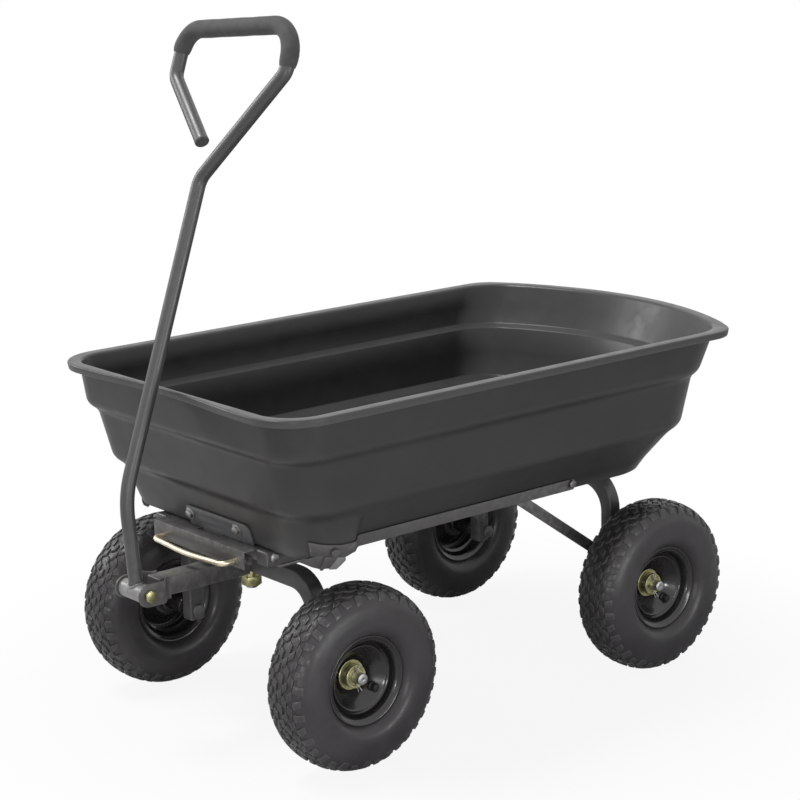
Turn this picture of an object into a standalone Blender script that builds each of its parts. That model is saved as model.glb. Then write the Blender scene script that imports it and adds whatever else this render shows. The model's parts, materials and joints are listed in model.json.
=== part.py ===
"""A four-wheeled garden dump cart: a moulded plastic tub that tips on a steel frame.

Axes: +X to the cart's side, -Y to the handle end, +Z up, with the ground at z = 0.
The origin lies on the ground, midway between the handle pivot's ears and the rear rim.
"""
import math

import bmesh
import bpy
from mathutils import Matrix, Vector

# Clearance between pieces that touch or run on each other
GAP = 0.0003

# Wheels and axles
WHEEL_RADIUS = 0.127
TYRE_WIDTH = 0.078
TYRE_WALL = 0.0065
BEAD_RADIUS = 0.0538
RIM_FLANGE_RADIUS = 0.0614
RIM_WIDTH = 0.056
RIM_SHEET = 0.0025
RIM_WELL_DEPTH = 0.0060
RIM_DISH_EDGE = 0.0150
RIM_DISH_KNEE = 0.0040
RIM_DISH_KNEE_RADIUS = 0.0320
HUB_RADIUS = 0.0128
HUB_INBOARD = 0.0560
HUB_OUTBOARD = -0.0065
HUB_STANDOUT = 0.0025
AXLE_RADIUS = 0.0079
AXLE_OUTBOARD = 0.0213
HUB_WASHER_RADIUS = 0.0205
HUB_WASHER_THICKNESS = 0.0022
HUB_COLLAR_RADIUS = 0.0158
HUB_COLLAR_LENGTH = 0.0105
COTTER_WIRE = 0.0013
TRACK = 0.4412
WHEELBASE = 0.555

AXLE_HEAD_FLATS = 0.0180
AXLE_HEAD_HEIGHT = 0.0040

# Axle legs, front axle arch, tongue and kingpin
LEG_WIDTH = 0.0215
LEG_TO_HUB = 0.0075
FRONT_ARCH_DEPTH = 0.0235
FRONT_BEAM_HEIGHT = 0.0255
FRONT_BEAM_RISE = 0.0955
FRONT_ARCH_BEND = 0.030
LEG_BELOW_AXLE = 0.0140
TONGUE_LENGTH = 0.1856
TONGUE_HEIGHT = 0.0255
TONGUE_HALF_WIDTH = 0.0150
TONGUE_BELOW_BEAM = 0.0025
PIVOT_BELOW_TONGUE = 0.0135
EAR_RADIUS = 0.0155
EAR_HALF_WIDTH = 0.0295
EAR_SHEET = 0.0030
EAR_LENGTH = 0.0260
EAR_JOG = 0.0100
EAR_ON_TONGUE = 0.0060
PAD_HEIGHT = 0.0135
PAD_HALF_WIDTH = 0.0300
PAD_HALF_DEPTH = 0.0180
KINGPIN_RADIUS = 0.0080
KINGPIN_NUT_HEIGHT = 0.0130
KINGPIN_COLLAR_HEIGHT = 0.0097
KINGPIN_HEAD_FLATS = 0.0240
KINGPIN_HEAD_HEIGHT = 0.0080
KINGPIN_LENGTH = 0.0720
KINGPIN_NUT_FLATS = 0.0240
THRUST_WASHER_RADIUS = 0.0180
THRUST_WASHER_THICKNESS = 0.0014

# Chassis
CHANNEL_HALF_LENGTH = 0.1050
CHANNEL_FRONT = 0.0865
CHANNEL_DEPTH = 0.0400
CHANNEL_WALL = 0.0025
BOLSTER_THICKNESS = 0.0040
BOLSTER_LENGTH = 0.0820
RAIL_HEIGHT = 0.0200
RAIL_WIDTH = 0.0245
RAIL_OUTER = 0.1300
REAR_ARCH_DEPTH = 0.0200
REAR_BEAM_HEIGHT = 0.0245
REAR_BEAM_DROP = 0.0052
REAR_ARCH_BEND = 0.0360
REAR_ARCH_BEHIND_AXLE = 0.0025
RAIL_PAST_CHANNEL_BACK = 0.0200
STRUT_WIDTH = 0.0160
STRUT_THICKNESS = 0.0045
STRUT_RUN = 0.1787
STRUT_FOOT_ABOVE_AXLE = 0.0250

# Tub: heights above its underside, half widths, and front and rear ends from the kingpin
TUB_HEIGHT = 0.2085
TUB_WALL = 0.0040
TUB_FLOOR = 0.0050
TUB_CORNER = 0.055
RIM_CORNER = 0.070
REAR_CORNER = 0.080
REAR_BOW = 1.15
LOW_REAR_BOW = 1.20
HIGH_REAR_BOW = 1.32
FLOOR_HALF_WIDTH = 0.1885
FOOT_HALF_WIDTH = 0.2130
FOOT_LENGTH = 0.0785
FOOT_FLARE = 0.0240
FLOOR_FRONT = 0.0580
FLOOR_REAR = 0.6235
WAIST_HEIGHT = 0.0195
WAIST_HALF_WIDTH = 0.1970
LOW_LEDGE_HEIGHT = 0.0585
LOW_LEDGE_RISE = 0.0120
LOW_LEDGE_HALF_WIDTH = 0.2262
LOW_LEDGE_OUT = 0.0085
LOW_LEDGE_FRONT = 0.0762
LOW_LEDGE_REAR = 0.6660
HIGH_LEDGE_HEIGHT = 0.1400
HIGH_LEDGE_RISE = 0.0090
HIGH_LEDGE_HALF_WIDTH = 0.2425
HIGH_LEDGE_OUT = 0.0105
HIGH_LEDGE_FRONT = 0.1058
HIGH_LEDGE_REAR = 0.7090
RIM_HALF_WIDTH = 0.2727
RIM_FRONT = 0.1395
RIM_FRONT_DISH = 0.0115
RIM_REAR = 0.7570
LIP_OVERHANG = 0.0160
LIP_HEIGHT = 0.0105
LIP_SHEET = 0.0036

# Tub rails, keeper and dump hinge
TUB_RAIL_ABOVE_FLOOR = 0.0040
TUB_RAIL_HEIGHT = 0.0155
TUB_RAIL_SHEET = 0.0020
TUB_RAIL_FOOT = 0.0080
TUB_RAIL_REAR = 0.4205
REAR_BOLT_FROM_END = 0.0050
KEEPER_LEFT = 0.0500
KEEPER_RIGHT = 0.0920
KEEPER_HEIGHT = 0.0290
KEEPER_SHEET = 0.0030
KEEPER_LEFT_BOLT = 0.0430
KEEPER_RIGHT_BOLT = 0.0650
KEEPER_BOLT_RISE = 0.0170
KEEPER_HOOK_WIDTH = 0.0440
KEEPER_HOOK_DROP = 0.0248
HINGE_BEHIND_AXLE = 0.0275
HINGE_BELOW_TUB = 0.0141
HINGE_PLATE_THICKNESS = 0.0025
HINGE_ROD_RADIUS = 0.0050
HINGE_LUG_RADIUS = 0.0100
HINGE_LUG_WIDTH = 0.0060
HINGE_HALF_SPREAD = 0.0850

# Release bail
BAIL_WIRE_RADIUS = 0.0034
BAIL_HALF_WIDTH = 0.0810
BAIL_REACH = 0.0165
BAIL_BELOW_TOP = 0.0183
BAIL_SAG = 0.0033
BAIL_BOW = 0.0030
BAIL_BEND = 0.0080
BAIL_TRAVEL = 0.0080
SPRING_RADIUS = 0.0050
SPRING_WIRE_RADIUS = 0.0006
SPRING_TURNS = 5
LATCH_BAR_THICKNESS = 0.0040
LATCH_BAR_HEIGHT = 0.0116
LATCH_BAR_HALF_LENGTH = 0.0940
LATCH_NOSE_LENGTH = 0.0030
LATCH_NOSE_HALF_WIDTH = 0.0140
LATCH_NOSE_HEIGHT = 0.0040
LATCH_CLEARANCE = 0.0004

# Handle
HANDLE_TUBE_RADIUS = 0.0095
HANDLE_TUBE_WALL = 0.0016
HANDLE_LOWER_LEAN = math.radians(4.5)
HANDLE_UPPER_LEAN = math.radians(19.06)
HANDLE_KNEE_HEIGHT = 0.1316
HANDLE_KNEE_BEND = 0.150
HANDLE_STEM_LENGTH = 0.4428
LOOP_FORK = -0.0185
LOOP_HALF_WIDTH = 0.1285
LOOP_LEFT_HALF_WIDTH = 0.1085
LOOP_SHOULDER = 0.1300
LOOP_LEFT_SHOULDER = 0.1110
LOOP_HEIGHT = 0.1925
LOOP_LEFT_HEIGHT = 0.1750
LOOP_FORK_BEND = 0.030
LOOP_CORNER_BEND = 0.042
LOOP_LEFT_CORNER_BEND = 0.034
LOOP_SHOULDER_BEND = 0.020
LOOP_END_X = 0.0145
LOOP_END_HEIGHT = 0.0295
GRIP_RADIUS = 0.01225
PIVOT_SLEEVE_RADIUS = 0.0125
PIVOT_SLEEVE_HALF = 0.0258
PIVOT_BOLT_RADIUS = 0.0050
PIVOT_HEAD_FLATS = 0.0150
PIVOT_HEAD_HEIGHT = 0.0060

# Fasteners
BOLT_RADIUS = 0.0030
BOLT_HEAD_FLATS = 0.0110
BOLT_HEAD_HEIGHT = 0.0045
BOLT_PAST_SHEET = 0.0040

# Heights that follow from the sizes above
AXLE_Z = WHEEL_RADIUS
FRONT_BEAM_TOP = AXLE_Z + FRONT_BEAM_RISE + FRONT_BEAM_HEIGHT
TONGUE_TOP = FRONT_BEAM_TOP - TONGUE_BELOW_BEAM
PAD_TOP = FRONT_BEAM_TOP + PAD_HEIGHT
BOLSTER_BOTTOM = PAD_TOP + THRUST_WASHER_THICKNESS + 2 * GAP
RAIL_BOTTOM = BOLSTER_BOTTOM + BOLSTER_THICKNESS + GAP
RAIL_TOP = RAIL_BOTTOM + RAIL_HEIGHT
TUB_BOTTOM = RAIL_TOP + GAP
TUB_TOP = TUB_BOTTOM + TUB_HEIGHT
HINGE_Z = TUB_BOTTOM - HINGE_BELOW_TUB

# Places along the cart, with the origin midway between the ears and the rear rim
KINGPIN_Y = (TONGUE_LENGTH + EAR_RADIUS - RIM_REAR) / 2
REAR_AXLE_Y = KINGPIN_Y + WHEELBASE
PIVOT_Y = KINGPIN_Y - TONGUE_LENGTH
PIVOT_Z = TONGUE_TOP - PIVOT_BELOW_TONGUE
CHANNEL_Y = KINGPIN_Y - CHANNEL_FRONT
HINGE_Y = REAR_AXLE_Y + HINGE_BEHIND_AXLE
LEG_OUTER = TRACK / 2 - HUB_INBOARD - LEG_TO_HUB
LEG_INNER = LEG_OUTER - LEG_WIDTH
REAR_ARCH_Y = REAR_AXLE_Y + REAR_ARCH_BEHIND_AXLE
REAR_ARCH_FRONT = REAR_ARCH_Y - REAR_ARCH_DEPTH / 2
REAR_BEAM_TOP = RAIL_TOP - REAR_BEAM_DROP
BAIL_Z = RAIL_TOP - BAIL_BELOW_TOP
HOOK_FRONT = KINGPIN_Y - FLOOR_FRONT - GAP - KEEPER_SHEET

# The corner guard's outline round the tub's corner: degrees, lower edge, upper edge
GUARD_OUTLINE = (
    (-56, 0.0085, 0.0250), (-54, 0.0065, 0.0250), (-46, -0.0118, 0.0235), (-36, -0.0122, 0.0220),
    (-18, -0.0110, 0.0200), (0, -0.0095, 0.0190))

STEEL = (0.075, 0.075, 0.080, 1)
FINISHES = {
    "tub_plastic": ((0.052, 0.051, 0.053, 1), 0.42, 0.0),
    "frame_paint": (STEEL, 0.35, 0.6),
    "rim_paint": ((0.012, 0.012, 0.013, 1), 0.18, 0.3),
    "tyre_rubber": ((0.022, 0.021, 0.022, 1), 0.75, 0.0),
    "grip_foam": ((0.035, 0.034, 0.036, 1), 0.70, 0.0),
    "zinc": ((0.62, 0.61, 0.57, 1), 0.28, 1.0),
    "yellow_zinc": ((0.66, 0.55, 0.27, 1), 0.30, 1.0),
    "spring_steel": ((0.45, 0.45, 0.45, 1), 0.30, 1.0),
    "nylon": ((0.70, 0.70, 0.68, 1), 0.50, 0.0),
}


def clear_scene():
    for old in list(bpy.data.objects):
        bpy.data.objects.remove(old, do_unlink=True)


def finish(name):
    """The material of this name, made on first use."""
    known = bpy.data.materials.get(name)
    if known:
        return known
    colour, roughness, metallic = FINISHES[name]
    material = bpy.data.materials.new(name)
    material.use_nodes = True
    shader = material.node_tree.nodes["Principled BSDF"]
    shader.inputs["Base Color"].default_value = colour
    shader.inputs["Roughness"].default_value = roughness
    shader.inputs["Metallic"].default_value = metallic
    return material


def add_object(name, mesh, carrier):
    """Put a mesh that is drawn in the cart's frame on its carrier, with its origin on the joint."""
    piece = bpy.data.objects.new(name, mesh)
    bpy.context.scene.collection.objects.link(piece)
    if carrier:
        mesh.transform(carrier.matrix_world.inverted())
        piece.parent = carrier
    return piece


def finished_mesh(bm, name, material, smooth=None):
    """Close off a bmesh as a mesh, with outward faces and a material."""
    bmesh.ops.recalc_face_normals(bm, faces=bm.faces)
    mesh = bpy.data.meshes.new(name)
    bm.to_mesh(mesh)
    bm.free()
    mesh.materials.append(finish(material))
    if smooth:
        mesh.shade_smooth()
        mesh.set_sharp_from_angle(angle=math.radians(smooth))
    return mesh


def carrier_at(name, location, carrier=None, turn=0.0):
    """An empty on a joint's axis, which carries the pieces of one moving body."""
    empty = bpy.data.objects.new(name, None)
    bpy.context.scene.collection.objects.link(empty)
    place = Matrix.Translation(Vector(location)) @ Matrix.Rotation(turn, 4, "Z")
    if carrier:
        empty.parent = carrier
        place = carrier.matrix_world.inverted() @ place
    empty.matrix_local = place
    bpy.context.view_layer.update()
    return empty


def add_box(name, low, high, material, carrier, bevel=0.0):
    bm = bmesh.new()
    bmesh.ops.create_cube(bm, size=1.0)
    size = Vector(high) - Vector(low)
    bmesh.ops.scale(bm, vec=size, verts=bm.verts)
    bmesh.ops.translate(bm, vec=(Vector(low) + Vector(high)) / 2, verts=bm.verts)
    if bevel:
        bmesh.ops.bevel(bm, geom=bm.edges[:], offset=bevel, segments=1, affect="EDGES")
    return add_object(name, finished_mesh(bm, name, material), carrier)


def prism_bmesh(outline, offset):
    """A flat outline of points, pushed along an offset into a closed solid."""
    bm = bmesh.new()
    face = bm.faces.new([bm.verts.new(point) for point in outline])
    grown = bmesh.ops.extrude_face_region(bm, geom=[face])
    top = [item for item in grown["geom"] if isinstance(item, bmesh.types.BMVert)]
    bmesh.ops.translate(bm, vec=offset, verts=top)
    return bm


def add_prism(name, outline, offset, material, carrier, smooth=30):
    return add_object(name, finished_mesh(prism_bmesh(outline, offset), name, material, smooth), carrier)


def turned_bmesh(profile, steps, axis="X"):
    """A closed profile of (along, radius) points, turned all the way about an axis."""
    bm = bmesh.new()
    points = [bm.verts.new((along, 0, radius)) for along, radius in profile]
    for here, following in zip(points, points[1:] + points[:1]):
        bm.edges.new((here, following))
    bmesh.ops.spin(
        bm, geom=bm.verts[:] + bm.edges[:], cent=(0, 0, 0), axis=(1, 0, 0),
        angle=math.tau, steps=steps, use_merge=True)
    bmesh.ops.remove_doubles(bm, verts=bm.verts, dist=1e-6)
    if axis == "Y":
        bmesh.ops.rotate(bm, verts=bm.verts, cent=(0, 0, 0), matrix=Matrix.Rotation(math.pi / 2, 3, "Z"))
    if axis == "Z":
        bmesh.ops.rotate(bm, verts=bm.verts, cent=(0, 0, 0), matrix=Matrix.Rotation(-math.pi / 2, 3, "Y"))
    return bm


def ring_points(centre, across, up, radius, sides, squeeze=1.0):
    return [
        centre + across * radius * math.cos(math.tau * k / sides)
        + up * radius * squeeze * math.sin(math.tau * k / sides)
        for k in range(sides)]


def loft_bmesh(rings, closed=False):
    """Rings of equally many points, joined one to the next. An open run gets end caps."""
    bm = bmesh.new()
    loops = [[bm.verts.new(point) for point in ring] for ring in rings]
    pairs = list(zip(loops, loops[1:]))
    if closed:
        pairs.append((loops[-1], loops[0]))
    for lower, upper in pairs:
        for k in range(len(lower)):
            after = (k + 1) % len(lower)
            bm.faces.new((lower[k], lower[after], upper[after], upper[k]))
    if not closed:
        bm.faces.new(loops[0][::-1])
        bm.faces.new(loops[-1])
    return bm


def frames_along(path):
    """At each point of a path, the unit vectors across and up that stay square to it."""
    frames = []
    up = None
    for k, point in enumerate(path):
        ahead = path[min(k + 1, len(path) - 1)] - path[max(k - 1, 0)]
        ahead.normalize()
        if up is None:
            up = Vector((1, 0, 0)) if abs(ahead.x) < 0.9 else Vector((0, 0, 1))
        across = ahead.cross(up).normalized()
        up = across.cross(ahead).normalized()
        frames.append((across, up))
    return frames


def swept_bmesh(path, radius, sides, bore=0.0):
    """A rod along a path, or a tube when it has a bore."""
    frames = frames_along(path)
    outer = [ring_points(p, a, u, radius, sides) for p, (a, u) in zip(path, frames)]
    if not bore:
        return loft_bmesh(outer)
    inner = [ring_points(p, a, u, bore, sides) for p, (a, u) in zip(path, frames)]
    return loft_bmesh(outer + inner[::-1], closed=True)


def rounded_path(corners, bends, segments=4):
    """Straight runs between corners, with each inner corner rounded to its bend radius."""
    corners = [Vector(corner) for corner in corners]
    path = [corners[0]]
    for before, corner, after, bend in zip(corners, corners[1:], corners[2:], bends):
        back = (before - corner).normalized()
        ahead = (after - corner).normalized()
        half = back.angle(ahead) / 2
        centre = corner + (back + ahead).normalized() * bend / math.sin(half)
        start = corner + back * bend / math.tan(half)
        end = corner + ahead * bend / math.tan(half)
        turn = math.pi - 2 * half
        normal = (start - centre).cross(end - centre).normalized()
        for k in range(segments + 1):
            swing = Matrix.Rotation(turn * k / segments, 3, normal)
            path.append(centre + swing @ (start - centre))
    path.append(corners[-1])
    return path


def bolt_bmesh(shank_radius, shank_length, flats=BOLT_HEAD_FLATS, head=BOLT_HEAD_HEIGHT):
    """A hexagon bolt along +X: its head's underside at x = 0, its shank towards +X."""
    sides = 12
    rings = []
    corner = flats / 2 / math.cos(math.pi / 6)
    for x in (-head, 0.0):
        ring = []
        for k in range(sides):
            angle = math.tau * k / sides
            radius = corner if k % 2 == 0 else flats / 2
            ring.append(Vector((x, radius * math.cos(angle), radius * math.sin(angle))))
        rings.append(ring)
    for x in (0.0, shank_length):
        rings.append([
            Vector((x, shank_radius * math.cos(math.tau * k / sides), shank_radius * math.sin(math.tau * k / sides)))
            for k in range(sides)])
    return loft_bmesh(rings)


def add_bolt(name, head_seat, direction, length, material, carrier, radius=BOLT_RADIUS, **head):
    """A bolt whose head's underside is at head_seat and whose shank runs along direction."""
    bm = bolt_bmesh(radius, length, **head)
    turn = Vector((1, 0, 0)).rotation_difference(Vector(direction)).to_matrix()
    bmesh.ops.rotate(bm, verts=bm.verts, cent=(0, 0, 0), matrix=turn)
    bmesh.ops.translate(bm, vec=head_seat, verts=bm.verts)
    return add_object(name, finished_mesh(bm, name, material, 30), carrier)


def cut(piece, cutter_bm):
    """Take a cutter's shape out of a piece."""
    mesh = bpy.data.meshes.new(piece.name + "_cutter")
    bmesh.ops.recalc_face_normals(cutter_bm, faces=cutter_bm.faces)
    cutter_bm.to_mesh(mesh)
    cutter_bm.free()
    cutter = bpy.data.objects.new(mesh.name, mesh)
    bpy.context.scene.collection.objects.link(cutter)
    cutter.hide_render = True
    cutter.display_type = "WIRE"
    modifier = piece.modifiers.new("cut", "BOOLEAN")
    modifier.operation = "DIFFERENCE"
    modifier.object = cutter


def drilled_mesh(mesh, cutter_bm):
    """A mesh with a hole already cut in it, for pieces that share one mesh."""
    piece = add_object("drilled", mesh, None)
    cut(piece, cutter_bm)
    bpy.context.view_layer.update()
    solid = piece.evaluated_get(bpy.context.evaluated_depsgraph_get())
    drilled = bpy.data.meshes.new_from_object(solid)
    cutter = piece.modifiers["cut"].object
    bpy.data.objects.remove(piece, do_unlink=True)
    bpy.data.objects.remove(cutter, do_unlink=True)
    return drilled


def cylinder_bmesh(centre, direction, radius, length, sides=16):
    """A plain cylinder about a centre point, for a hole."""
    way = Vector(direction).normalized()
    path = [Vector(centre) - way * length / 2, Vector(centre) + way * length / 2]
    return swept_bmesh(path, radius, sides)


def box_bmesh(low, high):
    bm = bmesh.new()
    bmesh.ops.create_cube(bm, size=1.0)
    bmesh.ops.scale(bm, vec=Vector(high) - Vector(low), verts=bm.verts)
    bmesh.ops.translate(bm, vec=(Vector(low) + Vector(high)) / 2, verts=bm.verts)
    return bm


# Wheels

def tyre_mesh():
    """A hollow tyre, open towards the rim, turned about X."""
    half = TYRE_WIDTH / 2
    seat = RIM_WIDTH / 2 - RIM_SHEET - 3 * GAP
    crown = WHEEL_RADIUS
    side = RIM_FLANGE_RADIUS
    outer = [
        (seat, BEAD_RADIUS), (seat, side), (half - 0.0045, side + 0.0060),
        (half, side + 0.0220), (half - 0.0015, crown - 0.0240), (half - 0.0080, crown - 0.0105),
        (half - 0.0190, crown - 0.0035), (0.0, crown)]
    inner = [
        (0.0, crown - TYRE_WALL - 0.0030), (half - 0.0190, crown - TYRE_WALL - 0.0070),
        (half - TYRE_WALL, crown - 0.0330), (seat - TYRE_WALL, BEAD_RADIUS)]
    profile = outer + [(-x, r) for x, r in outer[-2::-1]]
    profile += [(-x, r) for x, r in inner[::-1]] + inner[1:]
    return finished_mesh(turned_bmesh(profile, 28), "tyre", "tyre_rubber", 40)


def rim_mesh():
    """A pressed steel rim: two flanges, a drop centre and a disc that dishes in to the hub."""
    edge = RIM_WIDTH / 2
    flange = RIM_FLANGE_RADIUS
    seat = BEAD_RADIUS - GAP
    well = seat - RIM_WELL_DEPTH
    sheet = RIM_SHEET
    bore = HUB_RADIUS + GAP
    disc = HUB_OUTBOARD - HUB_STANDOUT
    hub_seat = HUB_WASHER_RADIUS + 0.0010
    knee, knee_radius = RIM_DISH_KNEE, RIM_DISH_KNEE_RADIUS
    profile = [
        (edge, flange), (edge - sheet, flange), (edge - sheet, seat), (edge - 0.0130, seat - 0.0012),
        (edge - 0.0160, well), (0.0160 - edge, well), (0.0130 - edge, seat - 0.0012),
        (sheet - edge, seat), (sheet - edge, flange), (-edge, flange),
        (-edge, seat - sheet), (0.0150 - edge, seat - sheet - 0.0012), (0.0180 - edge, well - sheet),
        (edge - 0.0195, well - sheet), (knee - sheet * 0.7, knee_radius + sheet * 0.7),
        (disc - sheet, hub_seat + sheet / 2), (disc - sheet, bore),
        (disc, bore), (disc, hub_seat), (knee, knee_radius),
        (RIM_DISH_EDGE, well - sheet - 0.0020), (RIM_DISH_EDGE, well - sheet),
        (edge - 0.0180, well - sheet), (edge - 0.0150, seat - sheet - 0.0012), (edge, seat - sheet)]
    return finished_mesh(turned_bmesh(profile, 22), "rim", "rim_paint", 40)


def hub_mesh():
    """The hub tube that turns on the axle, with a weld flange behind the rim's disc."""
    bore = AXLE_RADIUS + GAP
    disc_back = HUB_OUTBOARD - HUB_STANDOUT - RIM_SHEET - 4 * GAP
    leg_face = LEG_OUTER + GAP - TRACK / 2
    profile = [
        (HUB_OUTBOARD, bore), (HUB_OUTBOARD, HUB_RADIUS), (disc_back, HUB_RADIUS),
        (disc_back, HUB_RADIUS + 0.0030), (disc_back - 0.0040, HUB_RADIUS + 0.0030),
        (disc_back - 0.0040, HUB_RADIUS), (-HUB_INBOARD, HUB_RADIUS), (-HUB_INBOARD, HUB_RADIUS - 0.0018),
        (leg_face, HUB_RADIUS - 0.0018), (leg_face, bore)]
    return finished_mesh(turned_bmesh(profile, 14), "hub", "rim_paint", 40)


def axle_mesh():
    """A stub axle: a bolt from the leg's inner face through leg and hub, cross-drilled at its end."""
    seat = LEG_INNER - GAP - TRACK / 2
    bm = bolt_bmesh(AXLE_RADIUS, AXLE_OUTBOARD - seat, AXLE_HEAD_FLATS, AXLE_HEAD_HEIGHT)
    bmesh.ops.translate(bm, vec=(seat, 0, 0), verts=bm.verts)
    hole = cylinder_bmesh((cotter_x(), 0, 0), (0, 0, 1), COTTER_WIRE + GAP, 4 * AXLE_RADIUS, 8)
    return drilled_mesh(finished_mesh(bm, "axle", "zinc", 30), hole)


def hub_washer_mesh():
    """The plated washer on the hub's end, with the collar that the split pin holds."""
    bore = AXLE_RADIUS + GAP
    low = HUB_OUTBOARD + GAP
    face = low + HUB_WASHER_THICKNESS
    end = face + HUB_COLLAR_LENGTH
    profile = [
        (low, bore), (low, HUB_WASHER_RADIUS), (face, HUB_WASHER_RADIUS),
        (face, HUB_COLLAR_RADIUS), (end, HUB_COLLAR_RADIUS), (end, bore)]
    return finished_mesh(turned_bmesh(profile, 16), "hub_washer", "yellow_zinc", 40)


def cotter_x():
    """Where the cotter pin crosses the axle, measured out from the wheel's centre plane."""
    collar_end = HUB_OUTBOARD + GAP + HUB_WASHER_THICKNESS + HUB_COLLAR_LENGTH
    return collar_end + GAP + COTTER_WIRE


def cotter_mesh():
    """A split pin down through the axle: its eye above, its legs bent over below."""
    wire = COTTER_WIRE
    x = cotter_x()
    reach = AXLE_RADIUS + 2 * wire
    path = rounded_path(
        [(x, 0, reach + 0.0065), (x, 0, -reach), (x + 0.0055, 0.0, -reach - 0.0075)],
        [2 * wire], segments=3)
    bm = swept_bmesh(path, wire, 6)
    return finished_mesh(bm, "cotter_pin", "zinc", 40)


def build_wheel(tag, centre, outward, body, fixed):
    """One wheel on its body's empty, and the stub axle, washer and split pin that stay put."""
    turn = 0.0 if outward > 0 else math.pi
    spinner = carrier_at("wheel_" + tag, centre, body, turn)
    place = spinner.matrix_world.copy()
    for part, mesh in (("tyre", TYRE), ("rim", RIM), ("hub", HUB)):
        piece = bpy.data.objects.new(part + "_" + tag, mesh)
        bpy.context.scene.collection.objects.link(piece)
        piece.parent = spinner
    for part, mesh in (("axle", AXLE), ("hub_washer", WASHER), ("cotter_pin", COTTER)):
        piece = bpy.data.objects.new(part + "_" + tag, mesh)
        bpy.context.scene.collection.objects.link(piece)
        piece.parent = fixed
        piece.matrix_local = fixed.matrix_world.inverted() @ place


# Axle arches

def arch_outline(y, leg_inner, leg_outer, beam_low, beam_high, bend, foot):
    """The outline of an arch seen from the front: two legs and a beam with round shoulders."""
    outer_bend = bend + (leg_outer - leg_inner)
    outer = [(leg_outer, foot), (leg_outer, beam_high), (-leg_outer, beam_high), (-leg_outer, foot)]
    inner = [(leg_inner, foot), (leg_inner, beam_low), (-leg_inner, beam_low), (-leg_inner, foot)]
    over = rounded_path([(x, y, z) for x, z in outer], [outer_bend, outer_bend], segments=5)
    under = rounded_path([(x, y, z) for x, z in inner], [bend, bend], segments=5)
    return over + under[::-1]


def build_front_axle(steer):
    front = KINGPIN_Y - FRONT_ARCH_DEPTH / 2
    beam_low = FRONT_BEAM_TOP - FRONT_BEAM_HEIGHT
    outline = arch_outline(
        front, LEG_INNER, LEG_OUTER, beam_low, FRONT_BEAM_TOP, FRONT_ARCH_BEND, AXLE_Z - LEG_BELOW_AXLE)
    arch = add_prism("front_axle_arch", outline, (0, FRONT_ARCH_DEPTH, 0), "frame_paint", steer)
    # The pad on the beam that the thrust washer lies on
    join(arch, box_bmesh(
        (-PAD_HALF_WIDTH, KINGPIN_Y - PAD_HALF_DEPTH, FRONT_BEAM_TOP - 0.001),
        (PAD_HALF_WIDTH, KINGPIN_Y + PAD_HALF_DEPTH, PAD_TOP)))
    cut(arch, cylinder_bmesh((0, KINGPIN_Y, beam_low), (0, 0, 1), KINGPIN_RADIUS + GAP, 4 * FRONT_BEAM_HEIGHT))
    cut(arch, cylinder_bmesh((0, KINGPIN_Y, AXLE_Z), (1, 0, 0), AXLE_RADIUS + GAP, TRACK))
    build_tongue(steer, front)

    nut_bottom = beam_low - GAP - KINGPIN_COLLAR_HEIGHT - KINGPIN_NUT_HEIGHT
    nut = hex_nut_bmesh(
        KINGPIN_NUT_FLATS, KINGPIN_RADIUS + GAP, KINGPIN_NUT_HEIGHT, KINGPIN_COLLAR_HEIGHT)
    bmesh.ops.translate(nut, vec=(0, KINGPIN_Y, nut_bottom), verts=nut.verts)
    add_object("kingpin_nut", finished_mesh(nut, "kingpin_nut", "yellow_zinc", 30), steer)
    add_bolt(
        "kingpin_bolt", (0, KINGPIN_Y, BOLSTER_BOTTOM + BOLSTER_THICKNESS + GAP), (0, 0, -1),
        KINGPIN_LENGTH, "zinc", steer, radius=KINGPIN_RADIUS,
        flats=KINGPIN_HEAD_FLATS, head=KINGPIN_HEAD_HEIGHT)
    low = PAD_TOP + GAP
    high = low + THRUST_WASHER_THICKNESS
    bore = KINGPIN_RADIUS + GAP
    washer = turned_bmesh(
        [(low, bore), (low, THRUST_WASHER_RADIUS), (high, THRUST_WASHER_RADIUS), (high, bore)], 24, "Z")
    bmesh.ops.translate(washer, vec=(0, KINGPIN_Y, 0), verts=washer.verts)
    add_object("thrust_washer", finished_mesh(washer, "thrust_washer", "nylon", 30), steer)


def hex_nut_bmesh(flats, bore, height, collar=0.0):
    """A hexagon nut standing on z = 0 with a plain bore, and a round collar on top if it has one."""
    sides = 12
    corner = flats / 2 / math.cos(math.pi / 6)
    levels = [(0, True, 0), (height, True, 0)]
    if collar:
        levels += [(height, False, flats / 2), (height + collar, False, flats / 2)]
    levels += [(height + collar, False, bore), (0, False, bore)]
    rings = []
    for z, hexagon, round_radius in levels:
        ring = []
        for k in range(sides):
            angle = math.tau * k / sides
            radius = round_radius
            if hexagon:
                radius = corner if k % 2 == 0 else flats / 2
            ring.append(Vector((radius * math.cos(angle), radius * math.sin(angle), z)))
        rings.append(ring)
    return loft_bmesh(rings, closed=True)


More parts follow.
